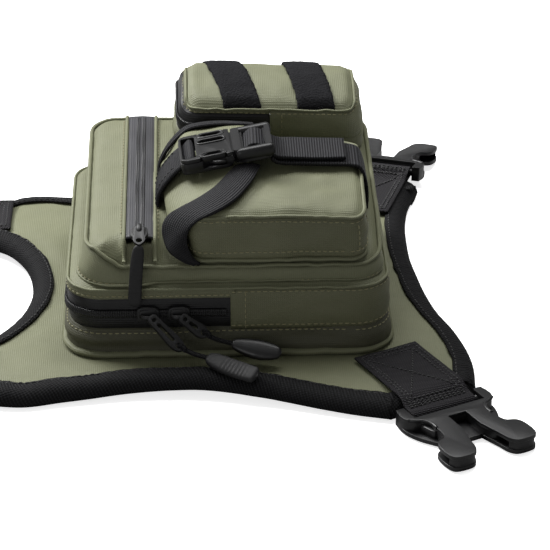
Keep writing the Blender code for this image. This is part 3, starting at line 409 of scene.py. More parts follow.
class Nodes:
    """A short way to write one procedural material."""

    def __init__(self, name, roughness, specular, sheen=0.0, sheen_colour=None, coat=0.0,
                 coat_roughness=0.2):
        self.mat = bpy.data.materials.new(name)
        self.mat.use_nodes = True
        self.tree = self.mat.node_tree
        self.shader = self.tree.nodes["Principled BSDF"]
        self.shader.inputs["Roughness"].default_value = roughness
        self.shader.inputs["Metallic"].default_value = 0.0
        self.shader.inputs["Specular IOR Level"].default_value = specular
        self.shader.inputs["Sheen Weight"].default_value = sheen
        if sheen_colour:
            self.shader.inputs["Sheen Tint"].default_value = (*sheen_colour, 1)
        self.shader.inputs["Coat Weight"].default_value = coat
        self.shader.inputs["Coat Roughness"].default_value = coat_roughness
        self.bump_from = None

    def add(self, kind, **values):
        made = self.tree.nodes.new(kind)
        for key, value in values.items():
            setattr(made, key, value)
        return made

    def link(self, a, b):
        self.tree.links.new(a, b)

    def place(self, scale, uv=False, turn=0.0):
        where = self.add("ShaderNodeTexCoord")
        mapping = self.add("ShaderNodeMapping")
        mapping.inputs["Scale"].default_value = scale
        mapping.inputs["Rotation"].default_value = (0, 0, math.radians(turn))
        self.link(where.outputs["UV" if uv else "Object"], mapping.inputs["Vector"])
        return mapping.outputs[0]

    def wave(self, per_mm, uv=False, axis="X", turn=0.0):
        """Fine bands, per_mm of them in a millimetre; the node's own period is pi / 10."""
        node = self.add("ShaderNodeTexWave", bands_direction=axis, wave_profile="SIN")
        node.inputs["Scale"].default_value = 1.0
        node.inputs["Distortion"].default_value = 0.0
        scale = 1000.0 * per_mm * math.pi / 10.0
        self.link(self.place((scale,) * 3, uv, turn), node.inputs["Vector"])
        return node.outputs["Fac"]

    def noise(self, size_mm, detail=3.0, roughness=0.55, uv=False, stretch=(1, 1, 1)):
        node = self.add("ShaderNodeTexNoise")
        node.inputs["Scale"].default_value = 1.0
        node.inputs["Detail"].default_value = detail
        node.inputs["Roughness"].default_value = roughness
        self.link(self.place([1000.0 / size_mm / s for s in stretch], uv), node.inputs["Vector"])
        return node.outputs["Fac"]

    def math(self, how, a, b):
        node = self.add("ShaderNodeMath", operation=how)
        for k, value in enumerate((a, b)):
            if isinstance(value, (int, float)):
                node.inputs[k].default_value = value
            else:
                self.link(value, node.inputs[k])
        return node.outputs[0]

    def ramp(self, fac, stops):
        node = self.add("ShaderNodeValToRGB")
        ramp = node.color_ramp
        while len(ramp.elements) < len(stops):
            ramp.elements.new(0.5)
        for element, (at, colour) in zip(ramp.elements, stops):
            element.position = at
            element.color = (*colour, 1)
        self.link(fac, node.inputs["Fac"])
        return node.outputs["Color"]

    def mix(self, fac, a, b):
        node = self.add("ShaderNodeMix", data_type="RGBA", blend_type="MIX")
        for socket, value in ((node.inputs[0], fac), (node.inputs[6], a), (node.inputs[7], b)):
            if isinstance(value, (int, float)):
                socket.default_value = value
            elif isinstance(value, tuple):
                socket.default_value = (*value, 1)
            else:
                self.link(value, socket)
        return node.outputs[2]

    def colour(self, socket):
        self.link(socket, self.shader.inputs["Base Color"])

    def rough(self, fac, low, high):
        node = self.add("ShaderNodeMapRange")
        node.inputs["To Min"].default_value = low
        node.inputs["To Max"].default_value = high
        self.link(fac, node.inputs["Value"])
        self.link(node.outputs[0], self.shader.inputs["Roughness"])

    def bump(self, height, distance_mm, strength=1.0):
        node = self.add("ShaderNodeBump")
        node.inputs["Strength"].default_value = strength
        node.inputs["Distance"].default_value = distance_mm * MM
        self.link(height, node.inputs["Height"])
        if self.bump_from is not None:
            self.link(self.bump_from, node.inputs["Normal"])
        self.bump_from = node.outputs[0]
        self.link(self.bump_from, self.shader.inputs["Normal"])


def srgb(r, g, b):
    """A screen colour from 0 to 255 as linear light."""
    def one(c):
        c /= 255.0
        return c / 12.92 if c <= 0.04045 else ((c + 0.055) / 1.055) ** 2.4
    return one(r), one(g), one(b)


def shade(colour, factor):
    return tuple(min(1.0, c * factor) for c in colour)


def olive_material(name, base):
    """Coated olive pack cloth: a plain weave with thread slubs and faint colour drift; its thread crossings
    are painted lighter, a painted highlight.
    """
    m = Nodes(name, roughness=0.62, specular=0.38, sheen=0.12, sheen_colour=shade(base, 2.0))
    threads_per_mm = 0.95
    warp = m.wave(threads_per_mm, True, "X")
    weft = m.wave(threads_per_mm, True, "Y")
    weave = m.math("MULTIPLY", warp, weft)
    slub = m.noise(3.2, 2.0, 0.6, True, (6, 0.6, 1))
    drift = m.noise(46.0, 4.0, 0.6)
    grime = m.noise(9.0, 5.0, 0.65)
    tone = m.ramp(drift, ((0.3, shade(base, 0.88)), (0.7, shade(base, 1.1))))
    # Painted highlight: the weave's thread crossings are painted lighter.
    tone = m.mix(m.math("MULTIPLY", weave, 0.55), tone, shade(base, 1.28))
    tone = m.mix(m.math("MULTIPLY", slub, 0.22), tone, shade(base, 0.72))
    tone = m.mix(m.math("MULTIPLY", grime, 0.16), tone, shade(base, 0.8))
    m.colour(tone)
    m.rough(grime, 0.5, 0.74)
    m.bump(m.noise(14.0, 3.0, 0.55), 0.7, 0.5)
    m.bump(m.math("ADD", weave, m.math("MULTIPLY", slub, 0.5)), 0.22, 0.7)
    return m.mat


def webbing_material(name, base, per_mm=0.62, axis="X", turn=0.0, roughness=0.6, twill=False, gloss=0.3,
                     lift=0.45):
    """Woven tape: ribs along it with the small cross picks of the weave."""
    m = Nodes(name, roughness=roughness, specular=gloss, sheen=0.05, sheen_colour=shade(base, 3.0))
    rib = m.wave(per_mm, True, axis, turn)
    pick = m.wave(per_mm * 1.25, True, "Y" if axis == "X" else "X", turn + (38.0 if twill else 0.0))
    fuzz = m.noise(0.9, 3.0, 0.7)
    drift = m.noise(30.0, 3.0, 0.6)
    # Painted light: each rib's top is painted lighter and the groove beside it darker (painted shade), and
    # the dots where ribs and picks cross are painted highlights.
    tone = m.ramp(rib, ((0.1, shade(base, 0.35)), (0.75, shade(base, 1.1))))
    highlight_dots = m.math("POWER", m.math("MULTIPLY", rib, pick), 1.6)
    tone = m.mix(m.math("MULTIPLY", highlight_dots, 0.85), tone, shade(base, 5.4))
    tone = m.mix(m.math("MULTIPLY", fuzz, 0.25), tone, shade(base, 0.4))
    tone = m.mix(m.math("MULTIPLY", drift, 0.2), tone, shade(base, 1.4))
    m.colour(tone)
    m.rough(fuzz, roughness - 0.1, roughness + 0.18)
    m.bump(m.math("ADD", rib, m.math("MULTIPLY", pick, 0.35)), lift, 0.75)
    m.bump(fuzz, 0.12, 0.5)
    return m.mat


def plastic_material(name, base, roughness=0.36, grain=0.55, coat=0.0):
    """Injection-moulded plastic: fine spark-eroded grain, handling scuffs."""
    m = Nodes(name, roughness=roughness, specular=0.4, coat=coat, coat_roughness=0.12)
    fine = m.noise(grain, 4.0, 0.6)
    wide = m.noise(16.0, 4.0, 0.65)
    scuff = m.noise(5.0, 6.0, 0.75, False, (1, 0.3, 1))
    tone = m.ramp(wide, ((0.3, shade(base, 0.85)), (0.75, shade(base, 1.25))))
    tone = m.mix(m.math("MULTIPLY", scuff, 0.12), tone, shade(base, 2.4))
    m.colour(tone)
    m.rough(m.math("ADD", m.math("MULTIPLY", fine, 0.5), m.math("MULTIPLY", scuff, 0.5)),
            roughness - 0.1, roughness + 0.14)
    m.bump(fine, 0.05, 0.5)
    m.bump(wide, 0.25, 0.15)
    return m.mat


def thread_material(name, base):
    m = Nodes(name, roughness=0.55, specular=0.3, sheen=0.2)
    twist = m.wave(2.6, False, "DIAGONAL")
    drift = m.noise(20.0, 2.0)
    tone = m.mix(m.math("MULTIPLY", drift, 0.5), base, shade(base, 0.7))
    tone = m.mix(m.math("MULTIPLY", twist, 0.4), tone, shade(base, 0.6))
    m.colour(tone)
    m.bump(twist, 0.1, 0.6)
    return m.mat


def coil_material():
    """The coil's turns."""
    base = srgb(22, 22, 23)
    m = Nodes("zip_coil_teeth", roughness=0.4, specular=0.4)
    turn = m.wave(0.72, True, "X")
    wear = m.noise(7.0, 3.0)
    # Painted light: each turn is painted lighter on its crown (painted highlight) and darker between turns
    # (painted shade).
    tone = m.ramp(turn, ((0.15, shade(base, 0.3)), (0.8, shade(base, 1.4))))
    m.colour(m.mix(m.math("MULTIPLY", wear, 0.3), tone, shade(base, 2.0)))
    m.rough(wear, 0.28, 0.5)
    m.bump(turn, 0.5, 0.9)
    return m.mat


def tape_material(name, base, roughness=0.42):
    """Reversed waterproof zip tape: a smooth film over fine knitted ribs."""
    m = Nodes(name, roughness=roughness, specular=0.3, sheen=0.03)
    rib = m.wave(0.8, True, "Y")
    course = m.wave(1.1, True, "X")
    drift = m.noise(24.0, 4.0, 0.6)
    tone = m.ramp(drift, ((0.3, shade(base, 0.85)), (0.7, shade(base, 1.15))))
    tone = m.mix(m.math("MULTIPLY", m.math("MULTIPLY", rib, course), 0.4), tone, shade(base, 1.5))
    m.colour(tone)
    m.rough(drift, roughness - 0.08, roughness + 0.12)
    m.bump(m.math("ADD", rib, m.math("MULTIPLY", course, 0.5)), 0.14, 0.5)
    m.bump(m.noise(12.0, 2.0), 0.4, 0.3)
    return m.mat


def loop_material():
    """Hook-and-loop pile: a matt mat of tangled loops."""
    base = srgb(19, 19, 21)
    m = Nodes("loop_pile", roughness=0.85, specular=0.1, sheen=0.12, sheen_colour=(0.1, 0.1, 0.11))
    tangle = m.noise(0.8, 5.0, 0.8)
    cells = m.add("ShaderNodeTexVoronoi")
    m.link(m.place((900.0, 900.0, 900.0)), cells.inputs["Vector"])
    cells.inputs["Scale"].default_value = 1.0
    tone = m.ramp(tangle, ((0.3, shade(base, 0.35)), (0.7, shade(base, 1.9))))
    m.colour(m.mix(m.math("MULTIPLY", m.noise(10.0, 3.0), 0.3), tone, shade(base, 1.6)))
    m.rough(tangle, 0.75, 0.95)
    m.bump(m.math("ADD", tangle, cells.outputs["Distance"]), 0.6, 0.9)
    return m.mat


OLIVE = srgb(101, 103, 79)
# A darker copy of the same olive cloth: painted shade for the walls, lips and zip stop that face away from
# the lamps.
OLIVE_PAINTED_SHADE = srgb(90, 91, 68)
M_OLIVE = olive_material("olive_pack_cloth", OLIVE)
M_OLIVE_PAINTED_SHADE = olive_material("olive_pack_cloth_painted_shade", OLIVE_PAINTED_SHADE)
# A still darker copy of the same olive cloth: painted shade for the pouch's low, creased gusset under the zip
# band.
M_OLIVE_DEEP_PAINTED_SHADE = olive_material("olive_pack_cloth_low_painted_shade", srgb(63, 63, 47))
M_THREAD = thread_material("olive_thread", srgb(136, 132, 98))
M_THREAD_BLACK = thread_material("black_thread", srgb(9, 9, 9))
M_BINDING = webbing_material("binding_grosgrain", srgb(12, 12, 13), 0.62, "X", 26.0, 0.66, gloss=0.12)
M_PATCH = webbing_material("strap_patch_twill", srgb(27, 26, 28), 0.8, "X", 32.0, 0.62, True, 0.12)
M_WEBBING = webbing_material("ribbed_webbing", srgb(24, 24, 26), 0.62, "Y", 0.0, 0.58, gloss=0.15, lift=0.4)
M_STRAP = webbing_material("strap_tail_webbing", srgb(25, 25, 27), 0.72, "X", 0.0, 0.58, gloss=0.15, lift=0.4)
M_FLAP_BAND = webbing_material("flap_band_webbing", srgb(22, 22, 24), 0.72, "Y", 0.0, 0.58, gloss=0.15)
M_TAPE = tape_material("zip_tape_film", srgb(14, 14, 15))
M_TAPE_FRONT = tape_material("zip_tape_front", srgb(49, 49, 52), 0.38)
M_COIL = coil_material()
M_LOOP = loop_material()
M_BUCKLE = plastic_material("buckle_acetal", srgb(8, 8, 9), 0.36)
M_SLIDER = plastic_material("slider_lacquer", srgb(7, 7, 8), 0.5, 0.9)
M_RUBBER = plastic_material("pull_rubber", srgb(8, 8, 9), 0.6, 0.8)
M_GRIP_GLOSS = plastic_material("pull_gloss", srgb(7, 7, 8), 0.4, 0.9, 0.08)
M_CORD = webbing_material("pull_cord_braid", srgb(16, 16, 17), 1.2, "X", 40.0, 0.6, True, 0.15)
M_LINING = webbing_material("spacer_mesh_lining", srgb(22, 22, 23), 0.35, "X", 45.0, 0.8, True, 0.15)


# ------------------------------------------------------------------ camera, floor and light

FLOOR_GLOW = 0.72
FLOOR_BOUNCE = (0.3, 0.3, 0.3)
WORLD_LIGHT = 0.22


def look_camera():
    """The photo's camera: from the wearer's right side, looking down at the vest."""
    target = Vector((0.025, -0.029, 0.030))
    lift, yaw = math.radians(27.0), math.radians(2.0)
    pixels_per_metre = 1850.0
    focal_pixels = 2600.0
    picture_pixels = 550.0
    forward = Vector((math.sin(yaw) * math.cos(lift), math.cos(yaw) * math.cos(lift), -math.sin(lift)))
    data = bpy.data.cameras.new("camera")
    data.sensor_width = 36.0
    data.lens = focal_pixels / picture_pixels * data.sensor_width
    data.clip_start = 0.01
    thing = bpy.data.objects.new("camera", data)
    thing.location = target - forward * focal_pixels / pixels_per_metre
    thing.rotation_euler = forward.to_track_quat("-Z", "Y").to_euler()
    bpy.context.scene.collection.objects.link(thing)
    bpy.context.scene.camera = thing


def area_light(name, place, aim, size, watts):
    data = bpy.data.lights.new(name, "AREA")
    data.shape = "RECTANGLE"
    data.size, data.size_y = size
    data.energy = watts
    thing = bpy.data.objects.new(name, data)
    thing.location = place
    thing.rotation_euler = (Vector(aim) - Vector(place)).to_track_quat("-Z", "Y").to_euler()
    bpy.context.scene.collection.objects.link(thing)


def studio():
    """A white paper floor that the camera sees as glowing but that bounces little light."""
    m = Nodes("paper_sweep", roughness=0.9, specular=0.1)
    m.colour(m.ramp(m.noise(600.0, 2.0), ((0.0, (0.93, 0.93, 0.93)), (1.0, (0.96, 0.96, 0.96)))))
    m.shader.inputs["Emission Color"].default_value = (1, 1, 1, 1)
    m.shader.inputs["Emission Strength"].default_value = FLOOR_GLOW
    m.bump(m.noise(1.2, 2.0), 0.02, 0.2)
    bounce = m.add("ShaderNodeBsdfDiffuse")
    bounce.inputs["Color"].default_value = (*FLOOR_BOUNCE, 1)
    seen = m.add("ShaderNodeLightPath")
    both = m.add("ShaderNodeMixShader")
    m.link(seen.outputs["Is Camera Ray"], both.inputs[0])
    m.link(bounce.outputs[0], both.inputs[1])
    m.link(m.shader.outputs[0], both.inputs[2])
    m.link(both.outputs[0], m.tree.nodes["Material Output"].inputs["Surface"])
    half = 9000.0
    corners = [(-half, -half, -0.3), (half, -half, -0.3), (half, half, -0.3), (-half, half, -0.3)]
    new_object("floor", corners, [(0, 1, 2, 3)], m.mat, smooth=False)
    world = bpy.data.worlds.new("studio")
    bpy.context.scene.world = world
    world.use_nodes = True
    world.node_tree.nodes["Background"].inputs[0].default_value = (1, 1, 1, 1)
    world.node_tree.nodes["Background"].inputs[1].default_value = WORLD_LIGHT
    area_light("key_left_back", (-0.95, 0.75, 1.15), (0, 0, 0.05), (0.8, 0.6), 42)
    area_light("top_soft", (0.05, 0.55, 1.5), (0, 0, 0), (1.3, 0.9), 26)
    area_light("front_fill", (-0.7, -1.5, 0.6), (0, 0, 0.04), (0.9, 0.7), 4)
    bpy.context.scene.view_settings.view_transform = "Standard"


look_camera()
studio()

# ------------------------------------------------------------------ the carrier

BINDING_WIDTH = 11.0
PANEL_EDGE_Z = 6.4
PANEL_SHOULDER = 8.0
PANEL_INSET = 1.4
LINING_INSET = 2.4
TIP_TO_BAR = 8.0
EDGE_STEP = 2.6


def wing_frame(x, y, heading):
    """The bar's centre, the direction outward and the direction across."""
    a = math.radians(heading)
    out = np.array((math.cos(a), math.sin(a)))
    return np.array((x, y), float), out, np.array((-out[1], out[0]))


# each buckle bar: x, y, heading in degrees, height
WINGS = {
    "waist_right": (106.5, -133.0, -63.0, 5.0),
    "waist_left": (94.0, 144.0, 72.0, 12.8),
    "shoulder_right": (-180.0, -89.0, 180.0, 5.0),
    "shoulder_left": (-180.0, 89.0, 180.0, 5.0),
}
WING_HALF = 25.0


def wing_corner(name, side):
    x, y, heading, _ = WINGS[name]
    bar, out, across = wing_frame(x, y, heading)
    return tuple(bar - out * TIP_TO_BAR + across * side * WING_HALF)


# the four bound edges, counter-clockwise between the wing ends
EDGES = {
    "right_side": [(-172, -110.5), (-150, -110), (-134, -112), (-120, -117), (-104, -118), (-84, -114),
                   (-51, -109), (-17, -109), (17, -117), (46, -127), (64, -133),
                   wing_corner("waist_right", -1)],
    "waist": [wing_corner("waist_right", 1), (126, -86), (121, -60), (113, -37), (108, -14), (105, 12),
              (103, 40), (104, 82), (109, 110), wing_corner("waist_left", -1)],
    "left_side": [wing_corner("waist_left", 1), (56, 136), (41, 128), (17, 119), (-17, 111), (-51, 109),
                  (-84, 115), (-104, 120), (-120, 119), (-134, 112), (-150, 110), (-172, 110.5)],
    "neck": [(-172, 67.5), (-152, 66), (-136, 61), (-124, 50), (-112, 27), (-107, 0),
             (-112, -27), (-124, -50), (-136, -61), (-152, -66), (-172, -67.5)],
}


def plan_curve(points, step):
    """A smooth open line through plan points."""
    return curve_through([(*p, 0) for p in points], step)[:, :2]


EDGE_PATHS = {name: plan_curve(points, EDGE_STEP) for name, points in EDGES.items()}
CARRIER = np.vstack([EDGE_PATHS[n] for n in ("right_side", "waist", "left_side", "neck")])


def lift(points):
    """How far the resting vest's edges stand off the table."""
    x, y = points[..., 0], points[..., 1]
    near = 3.4 * np.exp(-((x + 15) / 52) ** 2) * ease((-84 - y) / 26)
    far = 5.5 * np.exp(-((x + 15) / 62) ** 2) * ease((y - 84) / 26)
    neck = 4.0 * np.exp(-(((x + 118) / 26) ** 2 + ((y - 30) / 44) ** 2))
    waist = 3.0 * np.exp(-((y + 20) / 60) ** 2) * ease((x - 86) / 22)
    return near + far + neck + waist


def at_zero(points):
    """Plan points as 3D points at height zero."""
    return np.column_stack([points, np.zeros(len(points))])


def panel_relief(points):
    p = at_zero(points)
    return noise(p, 42.0, 3) * 0.9 + noise(p, 17.0, 5) * 0.35


def panel_height(points, edge):
    inner = ease(edge / PANEL_SHOULDER)
    past_pouch = np.maximum(np.abs(points[:, 0] + 1) - 84, np.abs(points[:, 1]) - 79)
    under_pouch = ease((12 - past_pouch) / 12)
    pinch = 0.55 * np.exp(-((edge - 13) / 3.5) ** 2)
    rise = 0.5 * ease((edge - 12) / 14)
    return (PANEL_EDGE_Z + (PANEL_TOP - PANEL_EDGE_Z) * inner + lift(points)
            + (panel_relief(points) * 0.9 * ease((edge - 9) / 8) - pinch + rise) * (1 - under_pouch))


carrier = skin("vest_panel_cloth", ring_inset(CARRIER, PANEL_INSET), panel_height, M_OLIVE, 4.0,
               (3.0, 6.5, 11.0), 5.2)
finish_cloth(carrier, ["vest_panel"])


def lining_height(points, edge):
    quilt = 0.25 * np.sin(points[:, 0] * 0.35) * np.sin(points[:, 1] * 0.35)
    return 0.95 + lift(points) * 0.98 + quilt * ease(edge / 12) * 0.6


LINING_LOOP = ring_inset(CARRIER, LINING_INSET)
lining = skin("back_lining_mesh", LINING_LOOP, lining_height, M_LINING, 5.5, (), 0.8)
finish_cloth(lining, ["back_lining"])


def at_edge(path, inset):
    """Points a set distance inside an open edge path."""
    return path + left_normals(path, False) * np.reshape(inset, (-1, 1))


def make_binding(name, path, nodes=()):
    """Tape folded over an edge and sewn along its inner side."""
    p3 = at_zero(path)
    wave = noise(p3, 9.0, 21) * 0.35
    # (inset from the edge, height), from the top inner side round to the underside
    section = [(BINDING_WIDTH, 9.7), (BINDING_WIDTH - 0.4, 10.4), (8.5, 10.6), (5.5, 10.3), (2.8, 9.3),
               (0.9, 7.6), (-0.4, 5.6), (-0.9, 3.8), (-0.4, 1.8), (1.2, 0.55), (4.0, 0.15),
               (BINDING_WIDTH, 0.15)]
    grid = np.zeros((len(path), len(section), 3))
    pucker = 0.3 * np.sin(np.arange(len(path)) * 2.1) * (0.5 + 0.5 * noise(p3, 24.0, 9))
    for k, (inset, z) in enumerate(section):
        top = 1.0 if k < 6 else 0.0
        q = at_edge(path, inset + (wave * 1.6 if k < 2 else wave * 0.5))
        grid[:, k, :2] = q
        grid[:, k, 2] = z + lift(q) + top * pucker + (wave if k < 8 else 0.0)
    band = surface(name + "_binding_tape", grid, M_BINDING, thickness=0.9, flip=True)
    finish_cloth(band, nodes)
    q = at_edge(path, BINDING_WIDTH - 1.9)
    line = np.column_stack([q, 10.55 + lift(q) + pucker])
    sewn = stitches(name + "_binding_thread", [(line[2:-2], (0, 0, 1))], M_THREAD_BLACK, 3.4, 2.4, 0.34, 0.15)
    finish_piece(sewn, "vest")


for edge_name in EDGES:
    make_binding(edge_name, EDGE_PATHS[edge_name], [edge_name + "_binding"])
for wing_name in WINGS:
    across_wing = np.array([wing_corner(wing_name, side) for side in (-1.0, 1.0)])
    make_binding(wing_name + "_end", resampled(across_wing, EDGE_STEP))


# ------------------------------------------------------------------ strap patches over the buckle bars

def plate_matrix(x, y, z, heading, droop=0.0):
    """Local x across the wing, local y outward, local z up, at the bar."""
    _, out, across = wing_frame(x, y, heading)
    a = math.radians(droop)
    o = Vector((out[0] * math.cos(a), out[1] * math.cos(a), -math.sin(a)))
    w = Vector((-across[0], -across[1], 0.0))
    up = w.cross(o)
    return Matrix(((w.x, o.x, up.x, x), (w.y, o.y, up.y, y), (w.z, o.z, up.z, z), (0, 0, 0, 1)))


PATCH_LENGTH = 56.0
PATCH_HALF = 19.0
PATCH_Z = 11.9
LOOP_RADIUS = 3.35
ROLLED_ROWS = 16


def make_patch(name):
    """38 mm webbing sewn to a wing with an X-box and rolled round the buckle's bar."""
    x, y, heading, bar_z = WINGS[name]
    _, out, across = wing_frame(x, y, heading)
    rise = bar_z + LOOP_RADIUS

    def cloth_z(s):
        return PATCH_Z + (rise - PATCH_Z) * float(ease((s + 13.0) / 11.0))

    runs = [*np.linspace(-PATCH_LENGTH, -13.0, 27), *np.linspace(-11.5, -1.5, 8)]
    flat = [(s, cloth_z(s)) for s in runs]
    roll = [(LOOP_RADIUS * math.sin(a), bar_z + LOOP_RADIUS * math.cos(a))
            for a in np.linspace(0.0, math.pi, 13)]
    back = [(s, bar_z - LOOP_RADIUS) for s in (-2.5, -5.0, -7.0)]
    profile = resampled(np.array(flat + roll + back), 1.6)
    widths = np.concatenate([[-PATCH_HALF, -18.7], np.linspace(-18.2, 18.2, 23), [18.7, PATCH_HALF]])
    grid = np.zeros((len(profile), len(widths), 3))
    for i, (s, z) in enumerate(profile):
        on_panel = i < len(profile) - ROLLED_ROWS
        for k, w in enumerate(widths):
            border = min(PATCH_HALF - abs(w), s + PATCH_LENGTH)
            hem = 1 - float(ease((border - 4.6) / 0.9))
            raised = 0.75 * hem * float(ease((-2.5 - s) / 3.0)) * on_panel
            side = 0.5 * float(1 - ease((PATCH_HALF - abs(w)) / 0.8)) if on_panel else 0.0
            px = x + out[0] * s + across[0] * w
            py = y + out[1] * s + across[1] * w
            sag = 0.35 * float(noise(np.array((px, py, 0.0)), 14.0, 31)) if on_panel else 0.0
            grid[i, k] = (px, py, max(z + raised - side + sag, 1.0))
    cloth = surface("strap_patch_" + name + "_webbing", grid, M_PATCH, thickness=1.3)
    finish_cloth(cloth, ["strap_patch_" + name])

    def sewn_line(corners, up):
        line = resampled(np.array([(s, w, 0.0) for s, w in corners]), 1.0)
        points = [(x + out[0] * s + across[0] * w, y + out[1] * s + across[1] * w, cloth_z(s) + up)
                  for s, w, _ in line]
        return np.array(points), (0, 0, 1)

    def sewn_box(s0, s1, half, up):
        return sewn_line([(s0, -half), (s1, -half), (s1, half), (s0, half), (s0, -half)], up)

    lines = [sewn_box(-53.2, -5.4, 16.2, 0.75), sewn_box(-50.8, -7.6, 13.8, 0.15),
             sewn_line([(-50.8, -13.8), (-7.6, 13.8)], 0.1), sewn_line([(-50.8, 13.8), (-7.6, -13.8)], 0.1),
             sewn_line([(-4.2, -17.4), (-4.2, 17.4)], 0.3), sewn_line([(-3.0, -17.4), (-3.0, 17.4)], 0.2)]
    sewn = stitches("strap_patch_" + name + "_thread", lines, M_THREAD_BLACK, 2.6, 2.0, 0.42, 0.2)
    finish_piece(sewn, "vest")


for wing_name in WINGS:
    make_patch(wing_name)

# ------------------------------------------------------------------ main pouch

WALL_CLOTH = 1.3


def outward(path, closed=False):
    return -left_normals(path, closed)


def wall(name, path, low, high, mat, nodes=(), closed=False, rows=12, bulge=1.2,
         wrinkle=0.7, size=11.0, seed=1, tuck=0.8, lean=0.0, stretch=(1.0, 1.0, 0.45), spread=None):
    """A sewn side wall standing on a plan path; returns its grid of points."""
    n = outward(path, closed)
    lo = np.broadcast_to(low(path) if callable(low) else low, len(path))
    hi = np.broadcast_to(high(path) if callable(high) else high, len(path))
    ts = np.linspace(0.0, 1.0, rows)
    grid = np.zeros((len(path), rows, 3))
    for k, t in enumerate(ts):
        z = lo + (hi - lo) * t
        free = math.sin(math.pi * t) ** 0.6 if 0 < t < 1 else 0.0
        p3 = np.column_stack([path * stretch[:2], z / stretch[2]])
        out = bulge * free + wrinkle * noise(p3, size, seed) * (0.25 + 0.75 * free)
        seams = math.exp(-(t / 0.09) ** 2) + math.exp(-((1 - t) / 0.09) ** 2)
        out = out - tuck * seams + lean * (1 - t)
        if spread is not None:
            foot_out, top_out = spread
            out = out + foot_out(path) * (1 - t) + top_out(path) * t
        grid[:, k, :2] = path + n * out[:, None]
        grid[:, k, 2] = z
    finish_cloth(surface(name, grid, mat, closed=closed, thickness=WALL_CLOTH), nodes)
    return grid


def wall_row(grid, fraction, path, closed=False):
    """A line of points up a wall at a fraction of its height, with outward normals."""
    at = fraction * (grid.shape[1] - 1)
    k = min(int(at), grid.shape[1] - 2)
    line = grid[:, k] * (1 - (at - k)) + grid[:, k + 1] * (at - k)
    n = outward(path, closed)
    return line, np.column_stack([n, np.zeros(len(n))])


def between(path, keep):
    """The stretch of a closed outline where keep is true, in order."""
    flags = keep(path)
    start = next(i for i in range(len(path)) if flags[i] and not flags[i - 1])
    order = [(start + i) % len(path) for i in range(len(path)) if flags[(start + i) % len(path)]]
    return path[order]


def ridge(name, path, heights, radius, flat, pucker, seed, closed=True):
    """The folded edge where two cloths are sewn together, over a plan path."""
    path3 = np.column_stack([path, np.broadcast_to(heights, len(path))])
    if closed:
        path3 = np.vstack([path3, path3[:2]])
    path3 = path3 + np.column_stack([np.zeros((len(path3), 2)), pucker * noise(path3, 5.0, seed)])
    thing = sweep(name, path3, round_section(radius, 8, flat), M_OLIVE, caps=not closed)
    finish_piece(thing, "vest")


# each seam: the stitches' pitch and length, the thread's radius and how far it stands off the cloth
POUCH_SEAM = (3.3, 2.3, 0.34, 0.12)
ZIP_LIP_SEAM = (3.3, 2.3, 0.32, 0.1)
UPPER_SEAM = (3.1, 2.1, 0.32, 0.12)
FLAP_POCKET_SEAM = (3.1, 2.2, 0.34, 0.14)


def sew(name, lines, seam):
    """Olive thread along lines on the vest itself."""
    finish_piece(stitches(name, lines, M_THREAD, *seam), "vest")


def up_the_wall(grid, normals, k):
    """A sewing line up a wall's column k, with its outward normals."""
    column = grid[k]
    return column, np.broadcast_to((*normals[k], 0.0), column.shape)


MAIN_LOOP = rounded_rectangle(MX0, MX1, MY0, MY1, 18.0, EDGE_STEP)
MAIN_BASE = 9.3
HEM_HEIGHT = 11.3


def main_top(points, edge):
    slack = 0.45 * noise(at_zero(points), 13.0, 8)
    return MAIN_TOP - 2.6 * (1 - ease(edge / 5.0)) ** 1.5 + slack * ease(edge / 5) + 0.2


front = skin("main_front_cloth", MAIN_LOOP, main_top, M_OLIVE, 4.5, (1.2, 2.6, 4.6, 7.0), 1.4)
finish_cloth(front, ["main_front_panel"])

lower_grid = wall("main_lower_gusset_cloth", MAIN_LOOP, MAIN_BASE, ZIP_LOW, M_OLIVE_DEEP_PAINTED_SHADE,
                  nodes=["main_lower_gusset"], closed=True, rows=24, bulge=0.4, wrinkle=2.1, size=5.0,
                  seed=12, lean=2.0, stretch=(0.13, 0.13, 1.0))
ZIP_PATH = between(MAIN_LOOP, lambda p: p[:, 0] < ZIP_END_X + 1.2)
END_PATH = between(MAIN_LOOP, lambda p: p[:, 0] > ZIP_END_X - 2.2)
band_grid = wall("main_zip_band_tape", ZIP_PATH, ZIP_LOW - 1.0, ZIP_HIGH + 1.5, M_TAPE,
                 nodes=["main_zip_band"], rows=11, bulge=0.5, wrinkle=0.25, size=16.0, seed=15, tuck=1.6)
end_grid = wall("main_end_gusset_cloth", END_PATH, ZIP_LOW - 1.6, MAIN_TOP - 2.2, M_OLIVE_PAINTED_SHADE,
                nodes=["main_end_gusset"], rows=12, bulge=1.5, wrinkle=0.8, size=12.0, seed=19, tuck=0.4)
lip_grid = wall("main_zip_upper_lip", ZIP_PATH, ZIP_HIGH - 0.2, MAIN_TOP - 2.2, M_OLIVE_PAINTED_SHADE, rows=7,
                bulge=0.7, wrinkle=0.35, size=7.0, seed=23, tuck=-0.9)

END_COLUMNS = (3, -4)
sew("main_pouch_thread",
    [wall_row(lower_grid, 0.10, MAIN_LOOP, True), wall_row(lower_grid, 0.86, MAIN_LOOP, True),
     wall_row(lip_grid, 0.3, ZIP_PATH), wall_row(end_grid, 0.93, END_PATH),
     wall_row(end_grid, 0.12, END_PATH),
     *[up_the_wall(end_grid, outward(END_PATH), k) for k in END_COLUMNS]], POUCH_SEAM)
ridge("main_hem_welt", MAIN_LOOP + outward(MAIN_LOOP, True) * 1.9, HEM_HEIGHT, 2.3, 0.8, 0.5, 41)
ridge("main_top_welt", MAIN_LOOP + outward(MAIN_LOOP, True) * 0.1, MAIN_TOP - 1.9, 0.9, 0.9, 0.45, 43)


